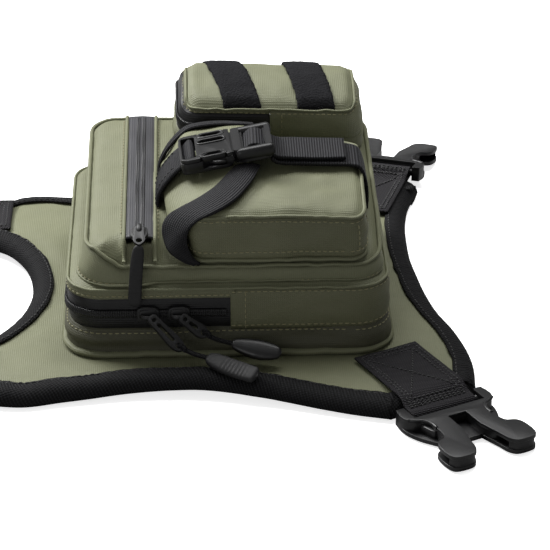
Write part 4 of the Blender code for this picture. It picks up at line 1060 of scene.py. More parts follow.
def coil(name, path3, normals, width, nodes=()):
    """Two rows of interlocked zip-coil turns along a line."""
    path3 = resampled(path3, 0.62)
    far = np.linspace(0, len(normals) - 1, len(path3)).round().astype(int)
    normals = np.asarray(normals)[far]
    run = np.gradient(path3, axis=0)
    run /= np.linalg.norm(run, axis=1)[:, None]
    side = np.cross(normals, run)
    half = width / 2
    across = [(-half, 0.1), (-half * 0.82, 0.75), (-half * 0.35, 1.0), (0.0, 0.62), (half * 0.35, 1.0),
              (half * 0.82, 0.75), (half, 0.1)]
    grid = np.zeros((len(path3), len(across), 3))
    for k, (a, h) in enumerate(across):
        turn = 0.3 * np.where(np.arange(len(path3)) % 2, 1.0, -0.6)
        grid[:, k] = path3 + side * a + normals * (h + turn * (0.4 + h * 0.5) - 0.15)[:, None]
    grid += np.asarray(normals)[:, None] * 0.55
    finish_cloth(surface(name, grid, M_COIL, thickness=0.9), nodes)


line, normals = wall_row(band_grid, 0.5, ZIP_PATH)
coil("main_zip_coil_turns", line[2:-2], normals[2:-2], 4.4, ["main_zip_coil"])

# ------------------------------------------------------------------ front pocket

FRONT_LOOP = rounded_rectangle(FX0, FX1, FY0, FY1, 15.0, EDGE_STEP)
ZIP_X = (ZX0 + ZX1) / 2
FRONT_NEAR_Z = 70.0
FRONT_SLOPE = 0.06


def front_level(y):
    """The pocket's top rises a little from its near edge to its far one."""
    return FRONT_NEAR_Z + FRONT_SLOPE * (y - FY0)


def front_surface(x, y):
    pressed = 9.0 * ease((x + 40.5) / 6.5) * (1 - ease((y - FY0) / 40.0))
    return front_level(y) - pressed


FOLD_DEPTH = 12.5


def corner_fold(x, y):
    """The slack corner beside the zip's near end falls away beyond one crease."""
    beyond = (x + 52.0) * 0.606 - (y + 57.0) * 0.795
    fall = 0.92 * np.maximum(beyond + 0.5 * np.sin(x * 0.5), 0.0)
    fall = FOLD_DEPTH * np.tanh(fall / FOLD_DEPTH) * ease((ZX0 + 0.5 - x) / 5.0)
    return 0.6 * np.exp(-(beyond / 1.5) ** 2) * (x < ZX0) - fall


def zip_end_drop(x, y):
    """Past the slider the pocket's top turns down over its near edge."""
    across = ease((x - ZX0 + 5.0) / 5.0) * (1 - ease((x + 40.5) / 6.5))
    return -8.5 * (1 - ease((y - FY0) / 8.5)) * across


def front_skin_height(points, _):
    """Measured from the whole pocket's edge, since the zip cuts its top in two."""
    x, y = points[:, 0], points[:, 1]
    outer = distance_to(points, FRONT_LOOP)
    p = np.column_stack([points * (1.0, 0.7), np.zeros(len(points))])
    slack = 1.0 * noise(p, 19.0, 51) + 0.45 * noise(p, 8.0, 52)
    crown = 1.3 * ease(outer / 16.0)
    lip = 0.5 * np.exp(-((np.abs(x - ZIP_X) - 8.5) / 1.6) ** 2)
    return (front_surface(x, y) + crown - 3.4 * (1 - ease(outer / 5.5)) ** 1.4 + slack * ease(outer / 6)
            + lip + corner_fold(x, y) * (x < ZIP_X) + zip_end_drop(x, y) - 0.4)


def clipped(loop, keep_left, x):
    """The part of a closed outline on one side of a line across it."""
    out = []
    sign = 1.0 if keep_left else -1.0
    for a, b in zip(loop, np.roll(loop, -1, axis=0)):
        inside_a, inside_b = (x - a[0]) * sign >= 0, (x - b[0]) * sign >= 0
        if inside_a:
            out.append(a)
        if inside_a != inside_b:
            t = (x - a[0]) / (b[0] - a[0])
            out.append(a + (b - a) * t)
    return resampled(np.array(out), EDGE_STEP, closed=True)


TOP_CLOTH = 1.2
TOP_INSETS = (1.2, 2.6, 4.4)
edge_loop = clipped(FRONT_LOOP, True, ZX0 + 1.2)
edge_skin = skin("front_pocket_edge_cloth", edge_loop, front_skin_height, M_OLIVE, 3.2, TOP_INSETS, TOP_CLOTH)
finish_cloth(edge_skin, ["front_pocket_edge_face"])
face_loop = clipped(FRONT_LOOP, False, ZX1 - 1.2)
face_skin = skin("front_pocket_cloth", face_loop, front_skin_height, M_OLIVE, 3.6, TOP_INSETS, TOP_CLOTH)
finish_cloth(face_skin, ["front_pocket_face"])


def front_edge(path):
    x, y = path[:, 0], path[:, 1]
    return front_surface(x, y) - 3.0 + corner_fold(x, y) * (x < ZIP_X) * 0.8 + zip_end_drop(x, y)


def no_shift(path):
    return 0.0 * path[:, 0]


def slack_foot(path):
    """The near-left wall slumps out to the main pouch's edge."""
    return 3.4 * ease((-34.0 - path[:, 0]) / 14.0) * ease((-40.0 - path[:, 1]) / 20.0)


gusset_grid = wall("front_pocket_gusset_cloth", FRONT_LOOP, MAIN_TOP - 0.2, front_edge, M_OLIVE,
                   nodes=["front_pocket_gusset"], closed=True, rows=12, bulge=1.0, wrinkle=1.2, size=12.0,
                   seed=61, lean=1.0, spread=(slack_foot, no_shift))
sew("front_pocket_thread", [wall_row(gusset_grid, 0.12, FRONT_LOOP, True)], POUCH_SEAM)
ridge("front_pocket_welt", FRONT_LOOP, front_edge(FRONT_LOOP) + 0.7, 1.15, 0.9, 0.5, 63)
foot = FRONT_LOOP + outward(FRONT_LOOP, True) * (1.2 + slack_foot(FRONT_LOOP))[:, None]
ridge("front_pocket_foot", foot, MAIN_TOP + 0.6, 1.0, 0.7, 0.3, 65)


STOP_LENGTH = 8.5
TAPE_HALF = 9.2


def zip_strip(name, nodes):
    """The long zip tape standing a little proud between its two lips."""
    ys = np.arange(FY0 + STOP_LENGTH, FY1 - 0.5, 2.0)
    xs = np.linspace(-TAPE_HALF, TAPE_HALF, 15)
    grid = np.zeros((len(ys), len(xs), 3))
    for i, y in enumerate(ys):
        for k, dx in enumerate(xs):
            x = ZIP_X + dx
            end = 3.2 * (1 - float(ease((FY1 - y) / 5.0)))
            arch = 0.9 * (1 - (dx / TAPE_HALF) ** 2) - 1.3 * float(ease((abs(dx) - 7.0) / 2.2))
            grid[i, k] = (x, y, front_level(y) + 1.0 + arch - end)
    thing = surface(name, grid, M_TAPE_FRONT, thickness=1.0, flip=True)
    finish_cloth(thing, nodes)


zip_strip("front_zip_band_tape", ["front_zip_band"])
ys = np.arange(FY0 + STOP_LENGTH + 1.0, FY1 - 4.0, 1.0)
for side_name, dx in (("a", -1.55), ("b", 1.55)):
    line = np.column_stack([np.full(len(ys), ZIP_X + dx), ys, front_level(ys) + 0.7])
    line[:, 2] -= 2.0 * (1 - ease((FY1 - 2.0 - ys) / 6.0))
    coil("front_zip_coil_" + side_name, line, np.broadcast_to((0.0, 0.0, 1.0), line.shape), 2.6,
         ["front_zip_coil"] if side_name == "a" else ())
stop_ys = np.linspace(FY0 - 0.6, FY0 + STOP_LENGTH + 1.5, 14)
stop_xs = np.linspace(-8.6, 8.6, 11)


def stop_height(dx, y):
    """The cloth stop at the zip's near end, turned down over the pocket's edge."""
    turned = 9.5 * (1 - float(ease((y - FY0) / 8.0)))
    return FRONT_NEAR_Z - 1.2 - turned + 0.5 * math.cos(dx * 0.5)


stop = np.array([[(ZIP_X + dx, y, stop_height(dx, y)) for dx in stop_xs] for y in stop_ys])
stop[..., 2] += 0.4 * noise(stop, 5.0, 68)
thing = surface("front_zip_stop_cloth", stop, M_OLIVE_PAINTED_SHADE, thickness=1.0, flip=True)
finish_cloth(thing, ["front_zip_garage"])
for lip_name, x in (("a", ZX0), ("b", ZX1)):
    lip_ys = np.arange(FY0 + 0.5, FY1 - 1.5, 1.5)
    q = np.column_stack([np.full(len(lip_ys), x), lip_ys])
    reach = 3.0 * (1 - ease((FY1 - lip_ys) / 5.0)) + 10.0 * (1 - ease((lip_ys - FY0) / 8.0))
    z = front_level(lip_ys) + 1.5 - reach
    ridge("front_zip_lip_" + lip_name, q, z, 0.95, 0.9, 0.2, 67, closed=False)
lip_lines = []
for x in (ZX0 - 1.6, ZX1 + 1.6):
    q = np.column_stack([np.full(len(ys), x), ys])
    z = front_skin_height(q, None) + 0.1
    lip_lines.append((np.column_stack([q, z])[3:-3], (0, 0, 1)))
sew("front_zip_lip_thread", lip_lines, ZIP_LIP_SEAM)

# ------------------------------------------------------------------ upper pocket

UPPER_LOOP = rounded_rectangle(UX0, UX1, UY0, UY1, 9.0, 2.2)


UPPER_NEAR_Z = 104
UPPER_RISE = 6
UPPER_FALL = 3
UPPER_CROWN = 5


def upper_surface(x, y):
    """A crowned top that rises to the far side and falls to the waist."""
    across = np.clip((y - UY0) / (UY1 - UY0), 0, 1)
    along = np.clip((x - UX0) / (UX1 - UX0), 0, 1)
    crown = UPPER_CROWN * np.maximum(np.sin(math.pi * across), 0.0) ** 0.7
    return UPPER_NEAR_Z + UPPER_RISE * across - UPPER_FALL * along + crown


def upper_skin_height(points, edge):
    x, y = points[:, 0], points[:, 1]
    p = at_zero(points)
    slack = 0.9 * noise(p, 14.0, 71) + 0.4 * noise(p, 6.0, 72)
    return upper_surface(x, y) - 2.6 * (1 - ease(edge / 5.0)) ** 1.4 + slack * ease(edge / 5) - 0.2


def upper_shrink(path):
    """The top panel is shorter than the pocket, so its ends show beside it."""
    return 0.3 + 5.0 * ease((-14.0 - path[:, 0]) / 12.0) + 3.4 * ease((path[:, 0] - 64.0) / 10.0)


def upper_rim(path):
    nearest = np.clip(path, (UX0 + 1.5, UY0 + 1.5), (UX1 - 1.5, UY1 - 1.5))
    return upper_surface(nearest[:, 0], nearest[:, 1]) - 2.4


UPPER_TOP_LOOP = UPPER_LOOP - outward(UPPER_LOOP, True) * upper_shrink(UPPER_LOOP)[:, None]
upper_top = skin("upper_pocket_top_cloth", UPPER_TOP_LOOP, upper_skin_height, M_OLIVE, 3.0, TOP_INSETS,
                 TOP_CLOTH)
finish_cloth(upper_top, ["upper_pocket_top"])
ridge("upper_pocket_welt", UPPER_TOP_LOOP, upper_rim(UPPER_LOOP) + 0.1, 0.8, 0.9, 0.5, 73)
BAND_DROP, BAND_HEIGHT = 3.6, 13.0


def upper_band_low(path):
    return upper_rim(path) - BAND_DROP - BAND_HEIGHT


wall("upper_pocket_gusset_cloth", UPPER_LOOP, lambda p: front_surface(p[:, 0], p[:, 1]) - 0.6,
     lambda p: upper_band_low(p) + 1.8, M_OLIVE, nodes=["upper_pocket_gusset"],
     closed=True, rows=12, bulge=1.6, wrinkle=1.0, size=12.0, seed=75, tuck=0.9)
UPPER_BAND = between(UPPER_LOOP, lambda p: p[:, 0] < UPPER_ZIP_END + 1.0)
UPPER_END = between(UPPER_LOOP, lambda p: p[:, 0] > UPPER_ZIP_END - 2.0)
upper_band_grid = wall("upper_zip_band_tape", UPPER_BAND, upper_band_low,
                       lambda p: upper_rim(p) - BAND_DROP + 2.4, M_TAPE,
                       nodes=["upper_zip_band"], rows=9, bulge=0.9, wrinkle=0.3, size=13.0, seed=77, tuck=0.9,
                       spread=(no_shift, lambda p: -0.55 * upper_shrink(p)))
upper_lip_grid = wall("upper_zip_lip", UPPER_BAND, lambda p: upper_rim(p) - BAND_DROP + 0.8, upper_rim,
                      M_OLIVE_PAINTED_SHADE, rows=5, bulge=0.2, wrinkle=0.3, size=8.0, seed=79, tuck=0.2,
                      spread=(lambda p: -0.55 * upper_shrink(p) - 0.3, lambda p: -upper_shrink(p)))
upper_end_grid = wall("upper_end_gusset_cloth", UPPER_END, lambda p: upper_band_low(p) - 0.4, upper_rim,
                      M_OLIVE, nodes=["upper_end_gusset"], rows=11, bulge=1.5, wrinkle=0.9, size=11.0,
                      seed=81, tuck=0.4, spread=(no_shift, lambda p: -upper_shrink(p)))
line, normals = wall_row(upper_band_grid, 0.45, UPPER_BAND)
coil("upper_zip_coil_turns", (line - 0.5 * normals)[2:-2], normals[2:-2], 4.0, ["upper_zip_coil"])
sew("upper_pocket_thread",
    [wall_row(upper_end_grid, 0.9, UPPER_END), wall_row(upper_lip_grid, 0.4, UPPER_BAND),
     *[up_the_wall(upper_end_grid, outward(UPPER_END), k) for k in END_COLUMNS]], UPPER_SEAM)


STRIP_NEAR, STRIP_FAR = 30.6, 78.8
STRIP_HALF = 10.25


def loop_strip(name, node, near_x, far_x, seed):
    """A fluffy strip of loop tape lying over the pocket's crown."""
    ys = np.linspace(STRIP_NEAR, STRIP_FAR, 34)
    across = np.linspace(-STRIP_HALF, STRIP_HALF, 15)
    grid = np.zeros((len(ys), len(across), 3))
    for i, y in enumerate(ys):
        centre = near_x + (far_x - near_x) * (y - 36.5) / 37.0
        for k, dx in enumerate(across):
            at = np.array((centre + dx, y, 0.0))
            fuzz = 0.35 * float(noise(at, 1.7, seed)) + 0.3 * float(noise(at, 6.0, seed + 1))
            border = min(STRIP_HALF - abs(dx), y - STRIP_NEAR, STRIP_FAR - y)
            edge = 0.9 * (1 - float(ease(border / 1.6)))
            seam = 0.5 * math.exp(-((border - 1.9) / 0.7) ** 2)
            jitter = 0.35 * float(noise(at * 1.3, 1.9, seed + 2)) * (border < 0.1)
            x = centre + dx + jitter
            fall = 2.6 * (1 - float(ease((min(y - UY0, UY1 - y) - 0.3) / 5.0))) ** 1.4
            z = float(upper_surface(x, y)) + 2.0 - edge - seam + fuzz * 0.7 - fall
            grid[i, k] = (x, y + jitter, z)
    thing = surface(name, grid, M_LOOP, thickness=1.7, flip=True)
    finish_cloth(thing, [node])


loop_strip("loop_strip_inner_pile", "loop_strip_inner", 8.0, -1.0, 91)
loop_strip("loop_strip_outer_pile", "loop_strip_outer", 49.0, 43.0, 97)

# ------------------------------------------------------------------ flap pocket

FLAP_LOOP = rounded_rectangle(PX0, PX1, PY0, PY1, 8.0, 2.2)


FLAP_POCKET_Z = 88


def flap_surface(x, y):
    """The flap pocket's crowned top, which also carries the flap and the strap."""
    along = (x + 20) / 90.0
    crown = 3 + 5 * ease((x + 20) / 32.0)
    return (FLAP_POCKET_Z + crown * np.sin(math.pi * np.clip((y + 73) / 105.0, 0, 1))
            - 2 * np.maximum(0, along - 0.6) / 0.4)


def near_pucker(x, y):
    """The seam's pucker along the pocket's near edge."""
    return 0.2 * np.sin(x * 0.55 + 2.3 * np.sin(x * 0.13)) * np.exp(-((y - PY0) / 6.0) ** 2)


def flap_top_height(points, edge):
    x, y = points[:, 0], points[:, 1]
    p = at_zero(points)
    slack = 1.0 * noise(p, 15.0, 101) + 0.5 * noise(p, 7.0, 102)
    dent = -2.0 * np.exp(-(((x - 28) / 9) ** 2 + ((y + 40) / 8) ** 2))
    return (flap_surface(x, y) - 2.4 * (1 - ease(edge / 4.6)) ** 1.4 + (slack + dent) * ease(edge / 6)
            + near_pucker(x, y) - 0.25)


def flap_rim(path):
    nearest = np.clip(path, (PX0 + 1.5, PY0 + 1.5), (PX1 - 1.5, PY1 - 1.5))
    return flap_surface(nearest[:, 0], nearest[:, 1]) - 2.2 + near_pucker(path[:, 0], path[:, 1])


pocket_top = skin("flap_pocket_top_cloth", FLAP_LOOP, flap_top_height, M_OLIVE, 3.0, (1.1, 2.4, 4.2),
                  TOP_CLOTH)
finish_cloth(pocket_top, ["flap_pocket_top"])
pocket_grid = wall("flap_pocket_walls_cloth", FLAP_LOOP, lambda p: front_surface(p[:, 0], p[:, 1]) + 0.4,
                   flap_rim, M_OLIVE_PAINTED_SHADE, nodes=["flap_pocket_walls"], closed=True, rows=18, bulge=1.7,
                   wrinkle=1.35, size=13.0, seed=105, tuck=0.8, lean=0.9)
open_rim = between(FLAP_LOOP, lambda p: p[:, 0] > -3.0)
ridge("flap_pocket_welt", open_rim + outward(open_rim) * 0.3, flap_rim(open_rim) + 0.4, 1.0, 0.95, 0.25, 107,
      closed=False)
foot = FLAP_LOOP + outward(FLAP_LOOP, True) * 1.3
ridge("flap_pocket_foot", foot, front_surface(foot[:, 0], foot[:, 1]) + 1.1, 1.35, 0.8, 0.4, 109)
pocket_lines = [wall_row(pocket_grid, 0.22, FLAP_LOOP, True), wall_row(pocket_grid, 0.9, FLAP_LOOP, True)]
for target in ((66.0, PY0), (PX1, -60.0)):
    k = int(np.argmin(np.linalg.norm(FLAP_LOOP - np.array(target), axis=1)))
    column = pocket_grid[k][3:-2]
    pocket_lines.append((column, np.broadcast_to((*outward(FLAP_LOOP, True)[k], 0.0), column.shape)))
sew("flap_pocket_thread", pocket_lines, FLAP_POCKET_SEAM)

# ------------------------------------------------------------------ flap

FOLD_Z = 86.0
FLAP_NEAR_TIP, FLAP_TIP_X = -61.0, 18.0


# the flap's near and far edges in plan, from the fold out to its tip
def flap_near_y(x):
    return FLAP_NEAR_TIP + 24.0 * ease((x + 31.0) / 46.0)


def flap_far_y(x):
    return 8.0 + 8.0 * np.sin(math.pi * np.clip((x + 31.0) / 60.0, 0, 1))


def flap_level(x, y):
    inner = flap_surface(np.maximum(x, -20.0), y) + 0.9
    return inner + (FOLD_Z - inner) * ease((-22.5 - x) / 8.5)


def flap_point(s, v):
    """s runs 0..1 up the folded part and 1..2 out to the tip; v runs from the near edge to the far one."""
    if s <= 1.0:
        near, far = PY0 + 12.0 * float(ease(s)), 8.0
        y = near + (far - near) * v
        base = float(front_surface(-26.5, y)) + 2.6
        x = -26.5 - 5.0 * s - 5.0 * math.sin(math.pi * s)
        return np.array((x, y, base + (84.6 - base) * s))
    t = s - 1.0
    x = -30.6 + (FLAP_TIP_X + 30.6) * t
    near, far = float(flap_near_y(x)), float(flap_far_y(x))
    y = near + (far - near) * v
    return np.array((x, y, float(flap_level(x, y))))


def bend_with_flap(thing, nodes=()):
    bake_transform(thing)
    if nodes:
        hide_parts(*nodes)
    return thing


# the two edge lines of each band, from the pocket's foot up over the fold to the buckle
NEAR_OUTER = [(-19, -78.5, 61), (-24.5, -76.5, 62.5), (-31.5, -71, 65.5), (-34.6, -64, 70),
              (-35.0, -60.5, 76), (-32.0, -59.5, 81.5), (-26, -60, 86), (-16.5, -57, 90),
              (-7.6, -51, 93.5), (-1.3, -44, 97), (3.7, -37, 99.3)]
NEAR_INNER = [(-15, -77.5, 62), (-19.5, -76, 66), (-22.0, -74.8, 72), (-21.5, -74.0, 79), (-17, -74, 85),
              (-9.5, -74, 89.3), (-1.6, -69.5, 91.6), (5.2, -63, 94), (12.7, -50, 97), (17.3, -38, 99.6)]


def tucked(grid):
    """The near edge lies under its webbing and the far edge rises to its own."""
    outer = curve_through(NEAR_OUTER, 1.0)
    inner = curve_through(NEAR_INNER, 1.0)
    at = np.linspace(0, 1, len(grid))
    mids = []
    for t in at:
        a = outer[int(round(t * (len(outer) - 1)))]
        b = inner[int(round(t * (len(inner) - 1)))]
        mids.append(a * 0.6 + b * 0.4)
    mids = np.array(mids)
    mids[:, 2] -= 0.8
    weight = (1 - np.linspace(0, 1, grid.shape[1])).clip(0, 1) ** 2.2
    out = grid + (mids - grid[:, 0])[:, None] * weight[None, :, None]
    far_rise = 6.0 * ease((out[..., 1] + 8.0) / 18.0) * ease((at * 2 - 0.75) / 0.4)[:, None]
    out[..., 2] += far_rise * ease((24 - out[..., 0]) / 12.0)
    return out


steps = np.concatenate([np.linspace(0, 0.9, 16), np.linspace(0.95, 1.2, 9), np.linspace(1.25, 2.0, 18)])
vs = np.linspace(0, 1, 26)
flap_grid = np.array([[flap_point(s, v) for v in vs] for s in steps])
smooth = tucked(flap_grid)
for _ in range(3):
    smooth[1:-1] = (smooth[:-2] + 2 * smooth[1:-1] + smooth[2:]) / 4
drape = 0.8 * noise(smooth, 16.0, 121) * (0.25 + 0.75 * ease(steps / 0.3))[:, None]
smooth[..., 0] -= 0.6 * np.maximum(drape, -0.4) * (steps < 1)[:, None]
smooth[..., 2] += np.maximum(drape, -0.1) * (steps >= 1)[:, None] * 0.7
flap_sheet = surface("flap_cloth", smooth, M_OLIVE, thickness=1.3, offset=1.0)
flap_sheet = apply_modifiers(flap_sheet)
bend_with_flap(flap_sheet, ["flap_upper", "flap_lower"])


def ribbon(name, outer, inner, mat, crown, thickness, samples, columns, flip=False):
    """A strip of webbing stretched between two edge lines, standing proud in its middle."""
    a = resampled(curve_through(outer, 1.0), 1.0)
    b = resampled(curve_through(inner, 1.0), 1.0)
    ta, tb = np.linspace(0, len(a) - 1, samples), np.linspace(0, len(b) - 1, samples)
    a = np.array([[np.interp(t, np.arange(len(a)), a[:, k]) for k in range(3)] for t in ta])
    b = np.array([[np.interp(t, np.arange(len(b)), b[:, k]) for k in range(3)] for t in tb])
    run = np.gradient((a + b) / 2, axis=0)
    across = b - a
    up = np.cross(across, run)
    up /= np.linalg.norm(up, axis=1)[:, None]
    if flip:
        up = -up
    ws = np.linspace(0, 1, columns)
    grid = np.zeros((samples, columns, 3))
    for k, w in enumerate(ws):
        grid[:, k] = a + across * w + up * (crown * (1 - (2 * w - 1) ** 2))
    return apply_modifiers(surface(name, grid, mat, thickness=thickness, flip=not flip))


near_band = ribbon("flap_band_near_webbing", NEAR_OUTER, NEAR_INNER, M_FLAP_BAND, 1.5, 1.7, 90, 15)
bend_with_flap(near_band, ["flap_binding_near", "flap_binding_lower"])

FAR_OUTER = [(14, 15.5, 100.4), (6, 17.2, 100.6), (-1.6, 19, 100.4), (-12, 19, 100), (-21.8, 17.5, 98.4),
             (-28.5, 13, 94.6), (-33.5, 8.5, 89.5), (-36.6, 6.5, 83), (-37.2, 6.5, 76), (-35.0, 7, 69),
             (-31, 8, 65.5)]
FAR_INNER = [(15, 10.5, 101.5), (6, 11.6, 101.4), (-2, 12.6, 101.2), (-11, 12.4, 100.6), (-20, 11.6, 99.0),
             (-26.4, 8.4, 95.2), (-32.2, 4.4, 90.0), (-36.2, 2.0, 83), (-36.9, 1.6, 76), (-35.0, 2, 69),
             (-31, 3, 65.5)]
far_band = ribbon("flap_band_far_webbing", FAR_OUTER, FAR_INNER, M_FLAP_BAND, 0.7, 1.6, 80, 9, flip=True)
bend_with_flap(far_band, ["flap_binding_far"])

CLOSURE = (Matrix.Translation(Vector((1.0, -24.0, 99.6))) @ Matrix.Rotation(math.radians(3.0), 4, "Z")
           @ Matrix.Rotation(math.radians(-10.0), 4, "Y"))


def closure_point(x, y, z):
    """A point given in the closure buckle's own frame: x along the strap, z up."""
    return np.array(CLOSURE @ Vector((x, y, z)))


def round_bar(side):
    """Where the webbing turns round the buckle's own bar."""
    turn = ((-18.0, 3.0), (-18.3, 6.4), (-20.2, 7.6), (-22.4, 6.2))
    return [tuple(closure_point(x, side * 12.2, z)) for x, z in turn]


LEFT_EDGE = [*round_bar(1), (-27.4, -10.0, 96.6), (-30.5, -9.3, 93.2), (-35.5, -9.5, 86.5),
             (-37.9, -9.5, 80), (-38.0, -10, 73), (-35.8, -10.5, 67)]
RIGHT_EDGE = [*round_bar(-1), (-27.2, -35.0, 95.8), (-30.5, -34.6, 92.2), (-35.4, -34.4, 85.5),
              (-37.9, -34.3, 79.5), (-38.0, -34.2, 73), (-35.8, -34, 67)]
over_fold = ribbon("closure_webbing_over_fold", LEFT_EDGE, RIGHT_EDGE, M_WEBBING, 0.5, 1.7, 60, 15, flip=True)
bend_with_flap(over_fold, ["closure_webbing_upper", "closure_webbing_lower"])
box_lines = []
for y in (-12.2, -31.8):
    box_lines.append((curve_through([(-28.5, y, 96.0), (-30.8, y, 93.6), (-35.9, y, 86.6),
                                     (-38.3, y, 80), (-38.4, y, 73)], 1.0), (-0.7, 0, 0.7)))
threads = stitches("closure_webbing_thread", box_lines, M_THREAD_BLACK, 2.8, 2.0, 0.34, 0.1)
bend_with_flap(threads)

# ------------------------------------------------------------------ closure buckle

CLOSURE_HALF = 16.0


def rr(x0, x1, y0, y1, radius, step=1.1):
    return [tuple(p) for p in rounded_rectangle(x0, x1, y0, y1, radius, step)]


def waisted(x0, x1, half, notch0, notch1, depth, radius):
    """A plate outline with a finger scoop in each side."""
    near = [(x, -half + depth * math.sin(math.pi * (x - notch0) / (notch1 - notch0)) ** 0.7)
            for x in np.linspace(notch0, notch1, 12)]
    far = [(x, -y) for x, y in reversed(near)]
    corner = []
    for cx, cy, start in ((x0 + radius, half - radius, 90), (x0 + radius, -half + radius, 180)):
        for k in range(7):
            a = math.radians(start + 15 * k)
            corner.append((cx + radius * math.cos(a), cy + radius * math.sin(a)))
    return [*near, (x1, -half + 0.6), (x1, half - 0.6), *far, *corner]


BACK_SLOT = rr(-24.4, -17.0, -13.0, 13.0, 1.4)
female = moulded("closure_buckle_female_shell", [
    (rr(-26.0, 1.6, -CLOSURE_HALF, CLOSURE_HALF, 4.0), [BACK_SLOT], 0.2, 2.0),
    (waisted(-26.0, 1.8, CLOSURE_HALF, -14.5, -1.6, 3.6, 4.0), [BACK_SLOT], 1.8, 6.0),
    (waisted(-25.6, 1.6, CLOSURE_HALF - 0.4, -15.5, -0.8, 5.6, 4.0),
     [BACK_SLOT, rr(-15.0, -1.4, 2.6, 6.2, 1.75)], 5.8, 8.1),
], CLOSURE, M_BUCKLE, 1.0)
finish_piece(female, "flap", ["closure_buckle_female"])


def rim(name, loop_out, loop_in, low, high):
    """A raised border round an opening of the female half."""
    thing = moulded(name, [(loop_out, [loop_in], low, high)], CLOSURE, M_BUCKLE, 0.45, 2)
    finish_piece(thing, "flap")


SIDES = (("near", -1), ("far", 1))
rim("closure_female_groove_rim", rr(-16.4, -0.2, 1.2, 7.6, 3.1), rr(-15.1, -1.4, 2.5, 6.3, 1.8), 7.6, 8.7)
for tag, side in SIDES:
    low, high = sorted((side * 15.4, side * 9.2))
    rim("closure_female_window_rim_" + tag, rr(-15.6, -0.6, low, high, 3.0),
        rr(-13.8, -2.2, low + 1.3, high - 1.3, 1.6), 5.6, 8.5)
bar = moulded("closure_female_bar", [(rr(-21.4, -18.9, -14.0, 14.0, 1.1), [], 2.6, 5.8)],
              CLOSURE, M_BUCKLE, 0.9)
finish_piece(bar, "flap")

MALE_SLOTS = [rr(8.2, 12.2, -11.2, 11.2, 1.3), rr(15.6, 19.6, -11.2, 11.2, 1.3)]
male = moulded("closure_buckle_male_frame", [
    (rr(2.4, 23.4, -15.6, 15.6, 5.2), MALE_SLOTS, 0.9, 6.6),
    (rr(2.6, 7.0, -14.4, 14.4, 1.6), [], 6.0, 8.2),
    (rr(0.2, 5.0, -12.8, 12.8, 0.6), [], 1.4, 6.9),
    (rr(20.6, 23.4, -13.0, 14.6, 1.3), [], 5.6, 7.8),
], CLOSURE, M_BUCKLE, 1.0)
for tag, side in SIDES:
    low, high = sorted((side * 16.0, side * 10.8))
    knuckle = moulded("closure_male_knuckle_" + tag, [(rr(3.2, 24.2, low, high, 2.5), [], 1.2, 8.2)],
                      CLOSURE, M_BUCKLE, 2.3, 4)
    finish_piece(knuckle, "closure_clip")
finish_piece(male, "closure_clip", ["closure_buckle_male"])
PRONG = ((2.9, 10.6), (2.9, 14.2), (-3.0, 15.1), (-7.5, 14.6), (-10.6, 12.6), (-10.6, 11.2), (-4.0, 10.9))
for tag, side in SIDES:
    prong = [(x, side * y) for x, y in PRONG][::side]
    prong = resampled(np.array(prong), 0.9, True).tolist()
    arm = moulded("closure_prong_" + tag, [(prong, [], 2.0, 4.2)], CLOSURE, M_BUCKLE, 0.6)
    finish_piece(arm, "closure_clip")

# ------------------------------------------------------------------ closure strap


def strap_ribbon(name, centre, half_width, thickness, twist=None):
    """A strap following a centre line of (x, y, z) whose width runs along +Y, tilted by twist."""
    line = resampled(curve_through(centre, 1.0), 1.0)
    u = np.linspace(0, 1, len(line))
    ws = np.linspace(-half_width, half_width, 15)
    grid = np.zeros((len(line), len(ws), 3))
    for k, w in enumerate(ws):
        tilt = (twist(u) if twist is not None else 0.0) * w / half_width
        grid[:, k] = line + (0.0, w, 0.0)
        grid[:, k, 2] += tilt + 0.18 * (1 - (w / half_width) ** 2)
    return apply_modifiers(surface(name, grid, M_STRAP, thickness=thickness, flip=True))


def over(x, y, lift_by):
    """A height above the flap pocket's top."""
    return float(flap_surface(x, y)) + lift_by


BAR_ROUTE = ((8.6, 3.4), (10.6, 5.4), (13.9, 6.9), (17.2, 5.4), (19.4, 3.6))
inside_male = strap_ribbon("closure_strap_over_bar", [tuple(closure_point(x, 0, z)) for x, z in BAR_ROUTE],
                           10.4, 1.5)
finish_piece(inside_male, "closure_clip")

lower_path = [(22.5, -23.0, 101.0), (27.0, -22.8, over(27, -23, 2.6)), (40.0, -22.0, over(40, -22, 2.2)),
              (54.0, -21.5, over(54, -22, 2.2)), (65.0, -21.5, over(65, -22, 2.0)),
              (69.6, -21.8, over(69, -22, 0.2)), (72.3, -22.4, 86.0), (72.9, -23.0, 79.0),
              (72.6, -23.6, 72.6)]
lower_strap = strap_ribbon("closure_strap_anchor", lower_path, 12.5, 1.6,
                           lambda u: 0.7 * np.sin(np.pi * np.clip(u / 0.75, 0, 1)))
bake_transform(lower_strap)
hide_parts("closure_strap_lower")

tail_path = [(22.2, -22.6, 103.6), (27.0, -22.4, over(27, -22, 5.6)), (36.0, -21.6, over(36, -22, 4.9)),
             (48.0, -20.6, over(48, -21, 4.6)), (62.3, -19.4, over(62, -20, 4.7))]
tail = strap_ribbon("closure_strap_tail_end", tail_path, 11.6, 1.6, lambda u: 0.35 * np.sin(np.pi * u) + 0.3)
finish_piece(tail, "closure_clip", ["closure_strap_tail"])
ends = [(curve_through([(60.4, y, over(60, y, 5.0)) for y in (-29.5, -20.0, -9.8)], 1.0), (0, 0, 1)),
        (curve_through([(57.6, y, over(57, y, 5.0)) for y in (-29.6, -20.2, -10.0)], 1.0), (0, 0, 1))]
sewn = stitches("closure_tail_thread", ends, M_THREAD_BLACK, 2.4, 1.8, 0.36, 0.25)
finish_piece(sewn, "closure_clip")

# ------------------------------------------------------------------ large side-release buckles

